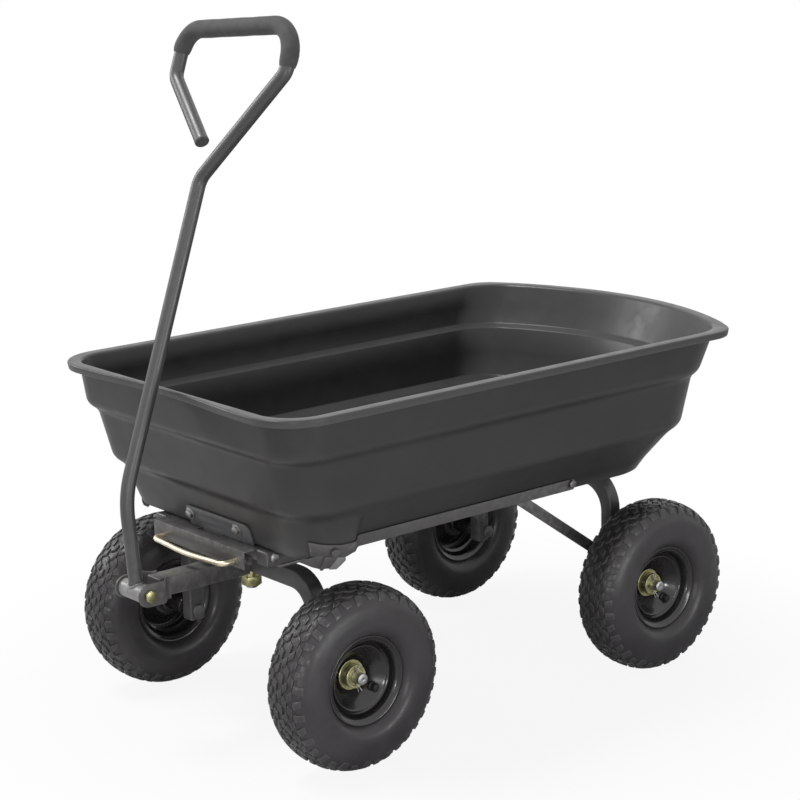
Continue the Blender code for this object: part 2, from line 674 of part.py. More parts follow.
def build_tongue(steer, front):
    """The drawbar: a square tube, and on each side an ear that bends out to take the handle's pivot."""
    half = TONGUE_HALF_WIDTH
    jog_start = PIVOT_Y + EAR_LENGTH
    jog_end = jog_start + EAR_JOG
    low = TONGUE_TOP - TONGUE_HEIGHT
    tongue = add_box(
        "tongue", (-half, jog_start, low), (half, front - GAP, TONGUE_TOP), "frame_paint", steer)
    for side in (-1, 1):
        outer = side * EAR_HALF_WIDTH
        flat = side * (half + 0.9 * EAR_SHEET)
        stations = []
        for degrees in (12, 30, 50, 70, 90):
            angle = math.radians(degrees)
            stations.append((outer, PIVOT_Y - EAR_RADIUS * math.cos(angle), EAR_RADIUS * math.sin(angle)))
        stations.append((outer, jog_start, EAR_RADIUS))
        stations.append((flat, jog_end, EAR_RADIUS))
        stations.append((flat, jog_end + EAR_ON_TONGUE, EAR_RADIUS))
        thickness = side * EAR_SHEET
        rings = [[
            Vector((x, y, PIVOT_Z - rise)), Vector((x, y, PIVOT_Z + rise)),
            Vector((x - thickness, y, PIVOT_Z + rise)), Vector((x - thickness, y, PIVOT_Z - rise))]
            for x, y, rise in stations]
        join(tongue, loft_bmesh(rings))
    cut(tongue, cylinder_bmesh((0, PIVOT_Y, PIVOT_Z), (1, 0, 0), PIVOT_BOLT_RADIUS + GAP, 4 * EAR_HALF_WIDTH, 12))


def join(piece, other_bm):
    """Add a shape to a piece with a Boolean union."""
    mesh = bpy.data.meshes.new(piece.name + "_addition")
    bmesh.ops.recalc_face_normals(other_bm, faces=other_bm.faces)
    other_bm.to_mesh(mesh)
    other_bm.free()
    other = bpy.data.objects.new(mesh.name, mesh)
    bpy.context.scene.collection.objects.link(other)
    other.hide_render = True
    other.display_type = "WIRE"
    modifier = piece.modifiers.new("join", "BOOLEAN")
    modifier.operation = "UNION"
    modifier.object = other


# Chassis

def build_chassis():
    top = RAIL_TOP
    channel_back = CHANNEL_Y + CHANNEL_DEPTH
    low = BOLSTER_BOTTOM
    wall = CHANNEL_WALL
    profile = [
        (CHANNEL_Y, low), (CHANNEL_Y, top), (channel_back, top), (channel_back, low),
        (channel_back - wall, low), (channel_back - wall, top - wall),
        (CHANNEL_Y + wall, top - wall), (CHANNEL_Y + wall, low)]
    outline = [(-CHANNEL_HALF_LENGTH, y, z) for y, z in profile]
    channel = add_prism("cross_channel", outline, (2 * CHANNEL_HALF_LENGTH, 0, 0), "frame_paint", None)
    for side in (-1, 1):
        hole = cylinder_bmesh(
            (side * BAIL_HALF_WIDTH, CHANNEL_Y, BAIL_Z), (0, 1, 0), BAIL_WIRE_RADIUS + GAP, 0.02, 12)
        cut(channel, hole)
    slot_half = KEEPER_HOOK_WIDTH / 2 + 0.004
    slot_front = HOOK_FRONT - 0.0080
    slot_back = HOOK_FRONT + KEEPER_SHEET + 0.0030
    cut(channel, box_bmesh((-slot_half, slot_front, top - 0.01), (slot_half, slot_back, top + 0.01)))

    bolster_front = channel_back + GAP
    bolster = add_box(
        "bolster_plate", (-RAIL_OUTER, bolster_front, BOLSTER_BOTTOM),
        (RAIL_OUTER, bolster_front + BOLSTER_LENGTH, BOLSTER_BOTTOM + BOLSTER_THICKNESS), "frame_paint", None)
    cut(bolster, cylinder_bmesh((0, KINGPIN_Y, BOLSTER_BOTTOM), (0, 0, 1), KINGPIN_RADIUS + GAP, 0.05))

    bolt_y = channel_back - RAIL_PAST_CHANNEL_BACK / 2
    bolt_z = RAIL_BOTTOM + RAIL_HEIGHT * 0.62
    for side, tag in ((-1, "left"), (1, "right")):
        near = side * (CHANNEL_HALF_LENGTH + GAP)
        far = side * RAIL_OUTER
        rail = add_box(
            tag + "_chassis_rail", (min(near, far), channel_back - RAIL_PAST_CHANNEL_BACK, RAIL_BOTTOM),
            (max(near, far), REAR_ARCH_FRONT - GAP, RAIL_TOP), "frame_paint", None, bevel=0.0015)
        cut(rail, cylinder_bmesh((far, bolt_y, bolt_z), (1, 0, 0), BOLT_RADIUS + GAP, 4 * RAIL_WIDTH, 12))
        add_bolt(
            tag + "_channel_bolt", (far + side * GAP, bolt_y, bolt_z), (-side, 0, 0),
            RAIL_WIDTH + BOLT_PAST_SHEET, "zinc", None)
        build_strut(side, tag)

    outline = arch_outline(
        REAR_ARCH_FRONT, LEG_INNER, LEG_OUTER, REAR_BEAM_TOP - REAR_BEAM_HEIGHT, REAR_BEAM_TOP,
        REAR_ARCH_BEND, AXLE_Z - LEG_BELOW_AXLE)
    arch = add_prism("rear_axle_arch", outline, (0, REAR_ARCH_DEPTH, 0), "frame_paint", None)
    cut(arch, cylinder_bmesh((0, REAR_AXLE_Y, AXLE_Z), (1, 0, 0), AXLE_RADIUS + GAP, TRACK))
    for side in (-1, 1):
        join(arch, lug_bmesh(side * HINGE_HALF_SPREAD, REAR_ARCH_FRONT + REAR_ARCH_DEPTH - 0.001))
    rod_hole = HINGE_ROD_RADIUS + GAP
    cut(arch, cylinder_bmesh((0, HINGE_Y, HINGE_Z), (1, 0, 0), rod_hole, 3 * HINGE_HALF_SPREAD, 16))
    reach = HINGE_HALF_SPREAD + 2 * HINGE_LUG_WIDTH + 0.006
    rod = cylinder_bmesh((0, HINGE_Y, HINGE_Z), (1, 0, 0), HINGE_ROD_RADIUS, 2 * reach, 16)
    add_object("hinge_rod", finished_mesh(rod, "hinge_rod", "zinc", 30), None)


def lug_bmesh(x, root_y):
    """A hinge lug: a flat plate from its root, with a round end about the hinge axis."""
    r = HINGE_LUG_RADIUS
    left = x - HINGE_LUG_WIDTH / 2
    outline = [(left, root_y, HINGE_Z - r), (left, root_y, HINGE_Z + r * 0.8)]
    for k in range(9):
        angle = math.radians(80) - math.radians(170) * k / 8
        outline.append((left, HINGE_Y + r * math.cos(angle), HINGE_Z + r * math.sin(angle)))
    return prism_bmesh(outline, (HINGE_LUG_WIDTH, 0, 0))


def build_strut(side, tag):
    """A flat bar that runs from the rail's side down to the front of the rear leg."""
    foot = Vector((0, REAR_ARCH_FRONT - GAP, AXLE_Z + STRUT_FOOT_ABOVE_AXLE))
    head = Vector((0, REAR_ARCH_FRONT - STRUT_RUN, RAIL_BOTTOM + RAIL_HEIGHT / 2))
    along = (head - foot).normalized()
    square = Vector((0, along.z, -along.y)) * STRUT_WIDTH / 2
    lift = Vector((0, 0, STRUT_WIDTH / 2 / -along.y))
    outline = [foot + lift, foot - lift, head - square, head + square]
    x = RAIL_OUTER + GAP if side > 0 else -RAIL_OUTER - GAP
    outline = [point + Vector((x, 0, 0)) for point in outline]
    add_prism(tag + "_strut", outline, (side * STRUT_THICKNESS, 0, 0), "frame_paint", None)


# The tub

def tub_ring(height, half, foot_half, front, rear, corner, rear_corner, bow, dish=0.0):
    """One level of the tub's outline, with round corners and a bowed rear end."""
    z = TUB_BOTTOM + height
    y_front = KINGPIN_Y - front
    y_rear = KINGPIN_Y + rear
    foot_end = KINGPIN_Y - FLOOR_FRONT + FOOT_LENGTH
    points = []
    # Right front corner, from the front's middle outwards
    for k in range(3):
        x = (foot_half - corner) * k / 3
        points.append((x, y_front + dish * (1 + math.cos(math.pi * k / 3)) / 2, z))
    for k in range(6):
        angle = -math.pi / 2 + math.pi / 2 * k / 5
        points.append((foot_half - corner + corner * math.cos(angle), y_front + corner + corner * math.sin(angle), z))
    points.append((foot_half, foot_end - FOOT_FLARE / 2, z))
    points.append((half, foot_end + FOOT_FLARE / 2, z))
    # Right rear corner: a fillet between the side and the bowed rear
    slope = math.atan(2 * bow * half * 0.85)
    turn = math.pi / 2 - slope
    reach = rear_corner * math.tan(turn / 2)
    centre = (half - rear_corner, y_rear - bow * half * half - reach)
    for k in range(6):
        angle = turn * k / 5
        x = centre[0] + rear_corner * math.cos(angle)
        points.append((x, centre[1] + rear_corner * math.sin(angle), z))
    last_x = points[-1][0]
    for k in range(1, 5):
        x = last_x * (1 - k / 4)
        points.append((x, y_rear - bow * x * x, z))
    mirrored = [(-x, y, z) for x, y, z in points[-2:0:-1]]
    return points + mirrored


def wall_sizes(height):
    """The tub's half width, foot half width, front and rear at a height below the low ledge."""
    share = height / LOW_LEDGE_HEIGHT
    if height < WAIST_HEIGHT:
        half = FLOOR_HALF_WIDTH + (WAIST_HALF_WIDTH - FLOOR_HALF_WIDTH) * height / WAIST_HEIGHT
    else:
        above = (height - WAIST_HEIGHT) / (LOW_LEDGE_HEIGHT - WAIST_HEIGHT)
        half = WAIST_HALF_WIDTH + (LOW_LEDGE_HALF_WIDTH - WAIST_HALF_WIDTH) * above
    foot = FOOT_HALF_WIDTH + (LOW_LEDGE_HALF_WIDTH - FOOT_HALF_WIDTH) * share
    front = FLOOR_FRONT + (LOW_LEDGE_FRONT - FLOOR_FRONT) * share
    rear = FLOOR_REAR + (LOW_LEDGE_REAR - FLOOR_REAR) * share
    return half, foot, front, rear


def build_tub(hinge):
    wall = TUB_WALL
    top = TUB_HEIGHT
    high_low = HIGH_LEDGE_HEIGHT
    high_top = HIGH_LEDGE_HEIGHT + HIGH_LEDGE_RISE
    low_low = LOW_LEDGE_HEIGHT
    low_top = LOW_LEDGE_HEIGHT + LOW_LEDGE_RISE
    body_half = RIM_HALF_WIDTH - LIP_OVERHANG
    body_front = RIM_FRONT - LIP_OVERHANG
    body_rear = RIM_REAR - LIP_OVERHANG
    low_out = LOW_LEDGE_OUT

    def level(height, half, front, rear, inset=0.0, bow=LOW_REAR_BOW, foot=None):
        foot_half = foot if foot else half
        return tub_ring(
            height, half - inset, foot_half - inset, front - inset, rear - inset,
            TUB_CORNER - inset, REAR_CORNER - inset, bow)

    def low_level(height, inset=0.0, lift=0.0):
        half, foot, front, rear = wall_sizes(height)
        return level(height + lift, half, front, rear, inset, foot=foot)

    def rim_level(height, inset=0.0):
        return tub_ring(
            height, RIM_HALF_WIDTH - inset, RIM_HALF_WIDTH - inset, RIM_FRONT - inset, RIM_REAR - inset,
            RIM_CORNER - inset, TUB_CORNER - inset, REAR_BOW, RIM_FRONT_DISH)

    def body_level(height, inset=0.0):
        return level(height, body_half, body_front, body_rear, inset, REAR_BOW)

    edge = 0.0060
    above_low = (
        LOW_LEDGE_HALF_WIDTH + low_out, LOW_LEDGE_FRONT + 1.6 * low_out, LOW_LEDGE_REAR + 2.4 * low_out)
    below_high = (HIGH_LEDGE_HALF_WIDTH, HIGH_LEDGE_FRONT, HIGH_LEDGE_REAR)
    above_high = tuple(size + HIGH_LEDGE_OUT for size in below_high)
    high_bow = HIGH_REAR_BOW
    outer = [
        low_level(0.0, edge),
        low_level(edge / 2),
        low_level(WAIST_HEIGHT),
        level(low_low, LOW_LEDGE_HALF_WIDTH, LOW_LEDGE_FRONT, LOW_LEDGE_REAR),
        level(low_top, *above_low),
        level(high_low, *below_high, bow=high_bow),
        level(high_top, *above_high, bow=high_bow)]
    sheet = LIP_SHEET
    lip = [
        body_level(top - sheet),
        rim_level(top - sheet, sheet),
        rim_level(top - LIP_HEIGHT, sheet),
        rim_level(top - LIP_HEIGHT),
        rim_level(top - 0.0045),
        rim_level(top - 0.0013, 0.0016),
        rim_level(top, 0.0050),
        body_level(top, -0.0010),
        body_level(top - 0.0040, wall)]
    step = 0.0030
    inner = [
        level(high_top + step, *above_high, inset=wall, bow=high_bow),
        level(high_low + step, *below_high, inset=wall, bow=high_bow),
        level(low_top + step, *above_low, inset=wall),
        level(low_low + step, LOW_LEDGE_HALF_WIDTH, LOW_LEDGE_FRONT, LOW_LEDGE_REAR, wall),
        low_level(WAIST_HEIGHT, wall, step),
        low_level(TUB_FLOOR + edge, wall),
        low_level(TUB_FLOOR, wall + edge)]
    bm = loft_bmesh(outer + lip + inner)
    tub = add_object("tub", finished_mesh(bm, "tub", "tub_plastic", 35), hinge)
    build_keeper(hinge, tub)
    for side, tag in ((-1, "left"), (1, "right")):
        build_tub_rail(side, tag, hinge, tub)
    build_hinge_plate(hinge)


def build_keeper(hinge, tub):
    """The plate on the tub's front wall, whose hook goes down through the channel's slot."""
    slope = (LOW_LEDGE_FRONT - FLOOR_FRONT) / LOW_LEDGE_HEIGHT
    square = math.hypot(1, slope)
    back = KINGPIN_Y - FLOOR_FRONT - GAP * square
    front = back - KEEPER_SHEET * square
    low = TUB_BOTTOM + GAP
    lean = slope * KEEPER_HEIGHT
    high = low + KEEPER_HEIGHT
    x = -KEEPER_LEFT
    outline = [
        (x, back, low), (x, front, low), (x, front - lean, high), (x, back - lean, high)]
    plate = add_prism(
        "keeper_plate", outline, (KEEPER_LEFT + KEEPER_RIGHT, 0, 0), "frame_paint", hinge)
    half = KEEPER_HOOK_WIDTH / 2
    join(plate, box_bmesh((-half, HOOK_FRONT, low - KEEPER_HOOK_DROP), (half, HOOK_FRONT + KEEPER_SHEET, low + 0.002)))
    nose_half = LATCH_NOSE_HALF_WIDTH + 2 * GAP
    nose_low = BAIL_Z - LATCH_NOSE_HEIGHT / 2 - 2 * GAP
    nose_high = BAIL_Z + LATCH_NOSE_HEIGHT / 2 + 2 * GAP
    cut(plate, box_bmesh((-nose_half, HOOK_FRONT - 0.01, nose_low), (nose_half, HOOK_FRONT + 0.01, nose_high)))
    inward = Vector((0, 1, slope)).normalized()
    rise = KEEPER_BOLT_RISE
    for x, tag in ((-KEEPER_LEFT_BOLT, "left"), (KEEPER_RIGHT_BOLT, "right")):
        seat = Vector((x, front - slope * rise, low + rise)) - inward * GAP
        add_tub_bolt(tag + "_keeper_bolt", seat, inward, KEEPER_SHEET, hinge, tub, plate)


def add_tub_bolt(name, seat, inward, sheet, hinge, tub, plate):
    """A bolt through a steel plate and the tub's wall, with its holes."""
    length = sheet + TUB_WALL * 1.2 + BOLT_PAST_SHEET
    add_bolt(name, seat, inward, length, "zinc", hinge)
    for piece in (tub, plate):
        cut(piece, cylinder_bmesh(seat + inward * length / 2, inward, BOLT_RADIUS + GAP, 2 * length, 12))


def corner_point(angle, height, out):
    """A point on the tub's right front corner, moved out from its wall."""
    foot, front = wall_sizes(height)[1:3]
    reach = TUB_CORNER + out
    x = foot - TUB_CORNER + reach * math.cos(angle)
    y = KINGPIN_Y - front + TUB_CORNER + reach * math.sin(angle)
    return Vector((x, y, TUB_BOTTOM + height))


def build_tub_rail(side, tag, hinge, tub):
    """A steel angle under the tub's side, whose front end wraps round the tub's corner."""
    sheet = TUB_RAIL_SHEET
    inner_x = WAIST_HALF_WIDTH + 3 * GAP
    low = TUB_RAIL_ABOVE_FLOOR
    high = low + TUB_RAIL_HEIGHT
    foot_end = KINGPIN_Y - FLOOR_FRONT + FOOT_LENGTH
    rear = KINGPIN_Y + TUB_RAIL_REAR
    near = 2 * GAP
    sections = []
    # The corner guard, whose lower edge dips below the tub
    for degrees, bottom, ceiling in GUARD_OUTLINE:
        angle = math.radians(degrees)
        sections.append([
            corner_point(angle, bottom, near), corner_point(angle, bottom, near + sheet),
            corner_point(angle, ceiling, near + sheet), corner_point(angle, ceiling, near)])
    # The step back to the side rail, and the rail
    foot_low = wall_sizes(low)[1] + near
    foot_high = wall_sizes(high)[1] + near
    y = foot_end - FOOT_FLARE / 2
    sections.append([
        Vector((foot_low, y, TUB_BOTTOM + low)), Vector((foot_low + sheet, y, TUB_BOTTOM + low)),
        Vector((foot_high + sheet, y, TUB_BOTTOM + high)), Vector((foot_high, y, TUB_BOTTOM + high))])
    for y in (foot_end + FOOT_FLARE / 2 + 0.001, rear):
        sections.append([
            Vector((inner_x, y, TUB_BOTTOM + low)), Vector((inner_x + sheet, y, TUB_BOTTOM + low)),
            Vector((inner_x + sheet, y, TUB_BOTTOM + high)), Vector((inner_x, y, TUB_BOTTOM + high))])
    sections = [[Vector((side * p.x, p.y, p.z)) for p in section] for section in sections]
    name = tag + "_tub_rail"
    rail = add_object(name, finished_mesh(loft_bmesh(sections), name, "frame_paint", 35), hinge)
    inside = side * (inner_x - TUB_RAIL_FOOT + sheet)
    outside = side * (inner_x + sheet / 2)
    join(rail, box_bmesh(
        (min(inside, outside), foot_end + FOOT_FLARE, TUB_BOTTOM + low),
        (max(inside, outside), rear, TUB_BOTTOM + low + sheet)))

    angle = math.radians(-15)
    height = 0.0120
    upward = corner_point(angle, height + 0.01, 0) - corner_point(angle, height, 0)
    level_way = Vector((-math.sin(angle), math.cos(angle), 0))
    inward = upward.cross(level_way).normalized()
    seat = corner_point(angle, height, near + sheet) - inward * 2 * GAP
    seat.x *= side
    inward.x *= side
    add_tub_bolt(tag + "_rail_front_bolt", seat, inward, sheet, hinge, tub, rail)
    seat = Vector((
        side * (inner_x + sheet + GAP), rear - REAR_BOLT_FROM_END, TUB_BOTTOM + low + TUB_RAIL_HEIGHT * 0.6))
    add_tub_bolt(tag + "_rail_rear_bolt", seat, Vector((-side, 0, 0)), sheet + 0.004, hinge, tub, rail)


def build_hinge_plate(hinge):
    """The plate under the tub's rear, whose lugs turn on the hinge rod."""
    half = HINGE_HALF_SPREAD + 2 * HINGE_LUG_WIDTH + 0.004
    top = TUB_BOTTOM - GAP
    plate = add_box(
        "tub_hinge_plate", (-half, HINGE_Y - HINGE_LUG_RADIUS, top - HINGE_PLATE_THICKNESS),
        (half, HINGE_Y + 2 * HINGE_LUG_RADIUS, top), "frame_paint", hinge)
    for side in (-1, 1):
        x = side * (HINGE_HALF_SPREAD + HINGE_LUG_WIDTH + 0.004)
        join(plate, plate_lug_bmesh(x, top - HINGE_PLATE_THICKNESS / 2))
    rod_hole = HINGE_ROD_RADIUS + GAP
    cut(plate, cylinder_bmesh((0, HINGE_Y, HINGE_Z), (1, 0, 0), rod_hole, 4 * half, 16))


def plate_lug_bmesh(x, root_z):
    """A lug that hangs from the hinge plate, with a round lower end about the hinge axis."""
    r = HINGE_LUG_RADIUS
    left = x - HINGE_LUG_WIDTH / 2
    outline = [(left, HINGE_Y + r, root_z), (left, HINGE_Y - r, root_z)]
    for k in range(9):
        angle = math.pi + math.pi * k / 8
        outline.append((left, HINGE_Y + r * math.cos(angle), HINGE_Z + r * math.sin(angle)))
    return prism_bmesh(outline, (HINGE_LUG_WIDTH, 0, 0))


# The release: a wire bail that draws the latch bar forward against two springs

def build_release(slide):
    nose_tip = HOOK_FRONT - LATCH_CLEARANCE
    bar_back = nose_tip - LATCH_NOSE_LENGTH
    bar_front = bar_back - LATCH_BAR_THICKNESS
    half_height = LATCH_BAR_HEIGHT / 2
    bar = add_box(
        "latch_bar", (-LATCH_BAR_HALF_LENGTH, bar_front, BAIL_Z - half_height),
        (LATCH_BAR_HALF_LENGTH, bar_back, BAIL_Z + half_height), "frame_paint", slide)
    join(bar, box_bmesh(
        (-LATCH_NOSE_HALF_WIDTH, bar_back - 0.001, BAIL_Z - LATCH_NOSE_HEIGHT / 2),
        (LATCH_NOSE_HALF_WIDTH, nose_tip, BAIL_Z + LATCH_NOSE_HEIGHT / 2)))
    reach = CHANNEL_Y - BAIL_REACH
    end = bar_back + 0.0015
    side = BAIL_HALF_WIDTH
    corners = [
        (side, end, BAIL_Z), (side, reach, BAIL_Z), (0, reach - BAIL_BOW, BAIL_Z - BAIL_SAG),
        (-side, reach, BAIL_Z), (-side, end, BAIL_Z)]
    path = rounded_path(corners, [BAIL_BEND, 0.5, BAIL_BEND], segments=5)
    bail = swept_bmesh(path, BAIL_WIRE_RADIUS, 8)
    add_object("release_bail", finished_mesh(bail, "release_bail", "yellow_zinc", 40), slide)
    spring_low = CHANNEL_Y + CHANNEL_WALL + GAP
    spring_high = bar_front - GAP
    for way, tag in ((-1, "left"), (1, "right")):
        hole = cylinder_bmesh((way * side, bar_front, BAIL_Z), (0, 1, 0), BAIL_WIRE_RADIUS + GAP, 0.03, 12)
        cut(bar, hole)
        build_spring(tag + "_latch_spring", way * side, spring_low, spring_high, slide)


def build_spring(name, x, start, end, slide):
    """A coil spring round the bail's leg, between the channel's flange and the latch bar."""
    wire = SPRING_WIRE_RADIUS
    first = start + wire
    last = end - wire
    per_turn = 9
    count = SPRING_TURNS * per_turn
    path = []
    for k in range(count + 1):
        angle = math.tau * k / per_turn
        y = first + (last - first) * k / count
        path.append(Vector((x + SPRING_RADIUS * math.cos(angle), y, BAIL_Z + SPRING_RADIUS * math.sin(angle))))
    gap = min(
        (path[a] - path[b]).length for a in range(count + 1) for b in range(a + per_turn // 2, count + 1))
    print(name, "least gap between turns in mm", round((gap - 2 * wire) * 1000, 2))
    coil = swept_bmesh(path, wire, 5)
    add_object(name, finished_mesh(coil, name, "spring_steel", 60), slide)


# The handle

def handle_path():
    """The tube's middle line: from the pivot up the stem and round the loop to its free end."""
    pivot = Vector((0, PIVOT_Y, PIVOT_Z))
    knee = pivot + Vector((0, -math.tan(HANDLE_LOWER_LEAN), 1)) * HANDLE_KNEE_HEIGHT
    up_stem = Vector((0, math.sin(HANDLE_UPPER_LEAN), math.cos(HANDLE_UPPER_LEAN)))
    start = knee + up_stem * HANDLE_STEM_LENGTH
    loop = [
        (0, LOOP_FORK), (LOOP_HALF_WIDTH, LOOP_SHOULDER), (LOOP_HALF_WIDTH, LOOP_HEIGHT),
        (-LOOP_LEFT_HALF_WIDTH, LOOP_LEFT_HEIGHT), (-LOOP_LEFT_HALF_WIDTH, LOOP_LEFT_SHOULDER),
        (-LOOP_END_X, LOOP_END_HEIGHT)]
    corners = [pivot, knee] + [start + Vector((x, 0, 0)) + up_stem * s for x, s in loop]
    bends = [
        HANDLE_KNEE_BEND, LOOP_FORK_BEND, LOOP_SHOULDER_BEND, LOOP_CORNER_BEND,
        LOOP_LEFT_CORNER_BEND, LOOP_SHOULDER_BEND]
    return rounded_path(corners, bends, segments=4)


def build_handle(pull):
    path = handle_path()
    tube_bm = swept_bmesh(path, HANDLE_TUBE_RADIUS, 10, HANDLE_TUBE_RADIUS - HANDLE_TUBE_WALL)
    tube = add_object("handle_tube", finished_mesh(tube_bm, "handle_tube", "frame_paint", 40), pull)
    pivot = (0, PIVOT_Y, PIVOT_Z)
    cut(tube, cylinder_bmesh(pivot, (1, 0, 0), PIVOT_SLEEVE_RADIUS + GAP, 0.06, 20))
    # The grip runs from the top of the right shoulder bend to the foot of the left corner bend
    grip_path = path[15:26]
    sides = 12
    grip_bore = (HANDLE_TUBE_RADIUS + GAP) / math.cos(math.pi / sides)
    grip = swept_bmesh(grip_path, GRIP_RADIUS, sides, grip_bore)
    add_object("handle_grip", finished_mesh(grip, "handle_grip", "grip_foam", 40), pull)

    bore = PIVOT_BOLT_RADIUS + GAP
    half = PIVOT_SLEEVE_HALF
    sleeve = turned_bmesh(
        [(-half, bore), (half, bore), (half, PIVOT_SLEEVE_RADIUS), (-half, PIVOT_SLEEVE_RADIUS)], 20)
    bmesh.ops.translate(sleeve, vec=pivot, verts=sleeve.verts)
    add_object("pivot_sleeve", finished_mesh(sleeve, "pivot_sleeve", "frame_paint", 40), pull)
    seat = EAR_HALF_WIDTH + GAP
    add_bolt(
        "pivot_bolt", (seat, PIVOT_Y, PIVOT_Z), (-1, 0, 0), 2 * seat + 2 * PIVOT_HEAD_HEIGHT, "yellow_zinc",
        pull, radius=PIVOT_BOLT_RADIUS, flats=PIVOT_HEAD_FLATS, head=PIVOT_HEAD_HEIGHT)
    nut = hex_nut_bmesh(PIVOT_HEAD_FLATS, bore, PIVOT_HEAD_HEIGHT)
    bmesh.ops.rotate(nut, verts=nut.verts, cent=(0, 0, 0), matrix=Matrix.Rotation(-math.pi / 2, 3, "Y"))
    bmesh.ops.translate(nut, vec=(-seat, PIVOT_Y, PIVOT_Z), verts=nut.verts)
    add_object("pivot_nut", finished_mesh(nut, "pivot_nut", "yellow_zinc", 30), pull)


clear_scene()
TYRE = tyre_mesh()
RIM = rim_mesh()
HUB = hub_mesh()
AXLE = axle_mesh()
WASHER = hub_washer_mesh()
COTTER = cotter_mesh()

chassis = carrier_at("chassis", (0, 0, 0))
front_axle = carrier_at("front_axle", (0, KINGPIN_Y, FRONT_BEAM_TOP), chassis)
tub_hinge = carrier_at("tub_tip", (0, HINGE_Y, HINGE_Z), chassis)
pull_handle = carrier_at("handle", (0, PIVOT_Y, PIVOT_Z), front_axle)
release = carrier_at("release", (0, CHANNEL_Y, BAIL_Z), chassis)
build_chassis()
build_front_axle(front_axle)
build_handle(pull_handle)
build_release(release)
build_tub(tub_hinge)
for tag, y, outward, body in (
        ("front_left", KINGPIN_Y, -1, front_axle), ("front_right", KINGPIN_Y, 1, front_axle),
        ("rear_left", REAR_AXLE_Y, -1, chassis), ("rear_right", REAR_AXLE_Y, 1, chassis)):
    build_wheel(tag, (outward * TRACK / 2, y, AXLE_Z), outward, body, body)
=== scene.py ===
"""A four-wheeled garden dump cart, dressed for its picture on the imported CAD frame.

Metres. +X is the cart's right side, -Y its handle end, +Z is up and the ground is z = 0.
"""

import json
import math

import bmesh
import bpy
from mathutils import Matrix, Vector


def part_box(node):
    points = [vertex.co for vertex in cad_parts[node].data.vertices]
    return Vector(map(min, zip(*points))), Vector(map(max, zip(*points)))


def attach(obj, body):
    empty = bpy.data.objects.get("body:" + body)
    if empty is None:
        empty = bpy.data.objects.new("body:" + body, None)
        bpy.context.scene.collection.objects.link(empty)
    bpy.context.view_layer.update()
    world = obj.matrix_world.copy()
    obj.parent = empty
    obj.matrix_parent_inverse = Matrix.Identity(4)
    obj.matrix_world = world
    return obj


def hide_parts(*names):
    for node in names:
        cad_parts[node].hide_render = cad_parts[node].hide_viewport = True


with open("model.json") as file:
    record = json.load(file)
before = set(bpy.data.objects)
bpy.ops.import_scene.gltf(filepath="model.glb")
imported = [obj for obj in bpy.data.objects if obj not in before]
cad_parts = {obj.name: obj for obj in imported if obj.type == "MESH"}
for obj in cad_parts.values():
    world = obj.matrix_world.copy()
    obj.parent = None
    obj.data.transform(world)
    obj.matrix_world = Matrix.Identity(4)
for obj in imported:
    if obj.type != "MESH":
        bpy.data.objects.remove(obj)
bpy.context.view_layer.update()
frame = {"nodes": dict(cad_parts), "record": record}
body_of = {node: body for body, nodes in frame["record"]["behaviour"]["bodies"].items() for node in nodes}


# --------------------------------------------------
# Front axle arch: one length of square steel tube, bent twice to a hoop and powder-coated grey.
# A small pad is welded on its crown, and the stub axles go through its two legs.

def add_node(material, kind, sockets=(), **settings):
    """One shader node. A socket takes a plain value, or another node's output to link from."""
    made = material.node_tree.nodes.new(kind)
    for name, value in settings.items():
        setattr(made, name, value)
    for socket, value in dict(sockets).items():
        if isinstance(value, bpy.types.NodeSocket):
            material.node_tree.links.new(value, made.inputs[socket])
        else:
            made.inputs[socket].default_value = value
    return made


def graded(material, value, *stops):
    """A value turned into grey steps or colours; each stop is (place, tone)."""
    ramp = add_node(material, "ShaderNodeValToRGB", {0: value})
    points = ramp.color_ramp.elements
    while len(points) < len(stops):
        points.new(0.5)
    for point, (place, tone) in zip(points, stops):
        point.position = place
        point.color = (*tone, 1) if isinstance(tone, tuple) else (tone, tone, tone, 1)
    return ramp.outputs["Color"]


def speckle(material, scale, detail=3.0, roughness=0.55, stretch=(1, 1, 1)):
    """Soft noise on the piece's own place, in cells of about 1 / scale metres."""
    where = add_node(material, "ShaderNodeTexCoord").outputs["Object"]
    where = add_node(material, "ShaderNodeMapping", {"Vector": where, "Scale": stretch}).outputs["Vector"]
    noise = add_node(
        material, "ShaderNodeTexNoise",
        {"Vector": where, "Scale": scale, "Detail": detail, "Roughness": roughness})
    return noise.outputs["Fac"]


def mixed(material, share, first, second, blend="MIX"):
    """Two colours mixed by a share from 0 to 1."""
    mix = add_node(
        material, "ShaderNodeMix", {0: share, 6: first, 7: second}, data_type="RGBA", blend_type=blend)
    return mix.outputs[2]


def edge_wear_and_highlight(material, *stops):
    """Grey steps that pick out the outer edges: rubbed wear on the powder coat, and a painted highlight on
    the tyres' lugs and on the tub's ledges and lip.
    """
    return graded(material, add_node(material, "ShaderNodeNewGeometry").outputs["Pointiness"], *stops)


def bumped(material, height, strength, distance, under=None):
    sockets = {"Height": height, "Strength": strength, "Distance": distance}
    if under:
        sockets["Normal"] = under
    return add_node(material, "ShaderNodeBump", sockets).outputs["Normal"]


def new_finish(name, **sockets):
    """A named material and its shader; plain numbers go straight on the shader's sockets."""
    material = bpy.data.materials.new(name)
    material.use_nodes = True
    shader = material.node_tree.nodes["Principled BSDF"]
    for socket, value in sockets.items():
        shader.inputs[socket.replace("_", " ")].default_value = value
    return material, shader


def drive(material, shader, **sockets):
    for socket, value in sockets.items():
        material.node_tree.links.new(value, shader.inputs[socket.replace("_", " ")])
    return material


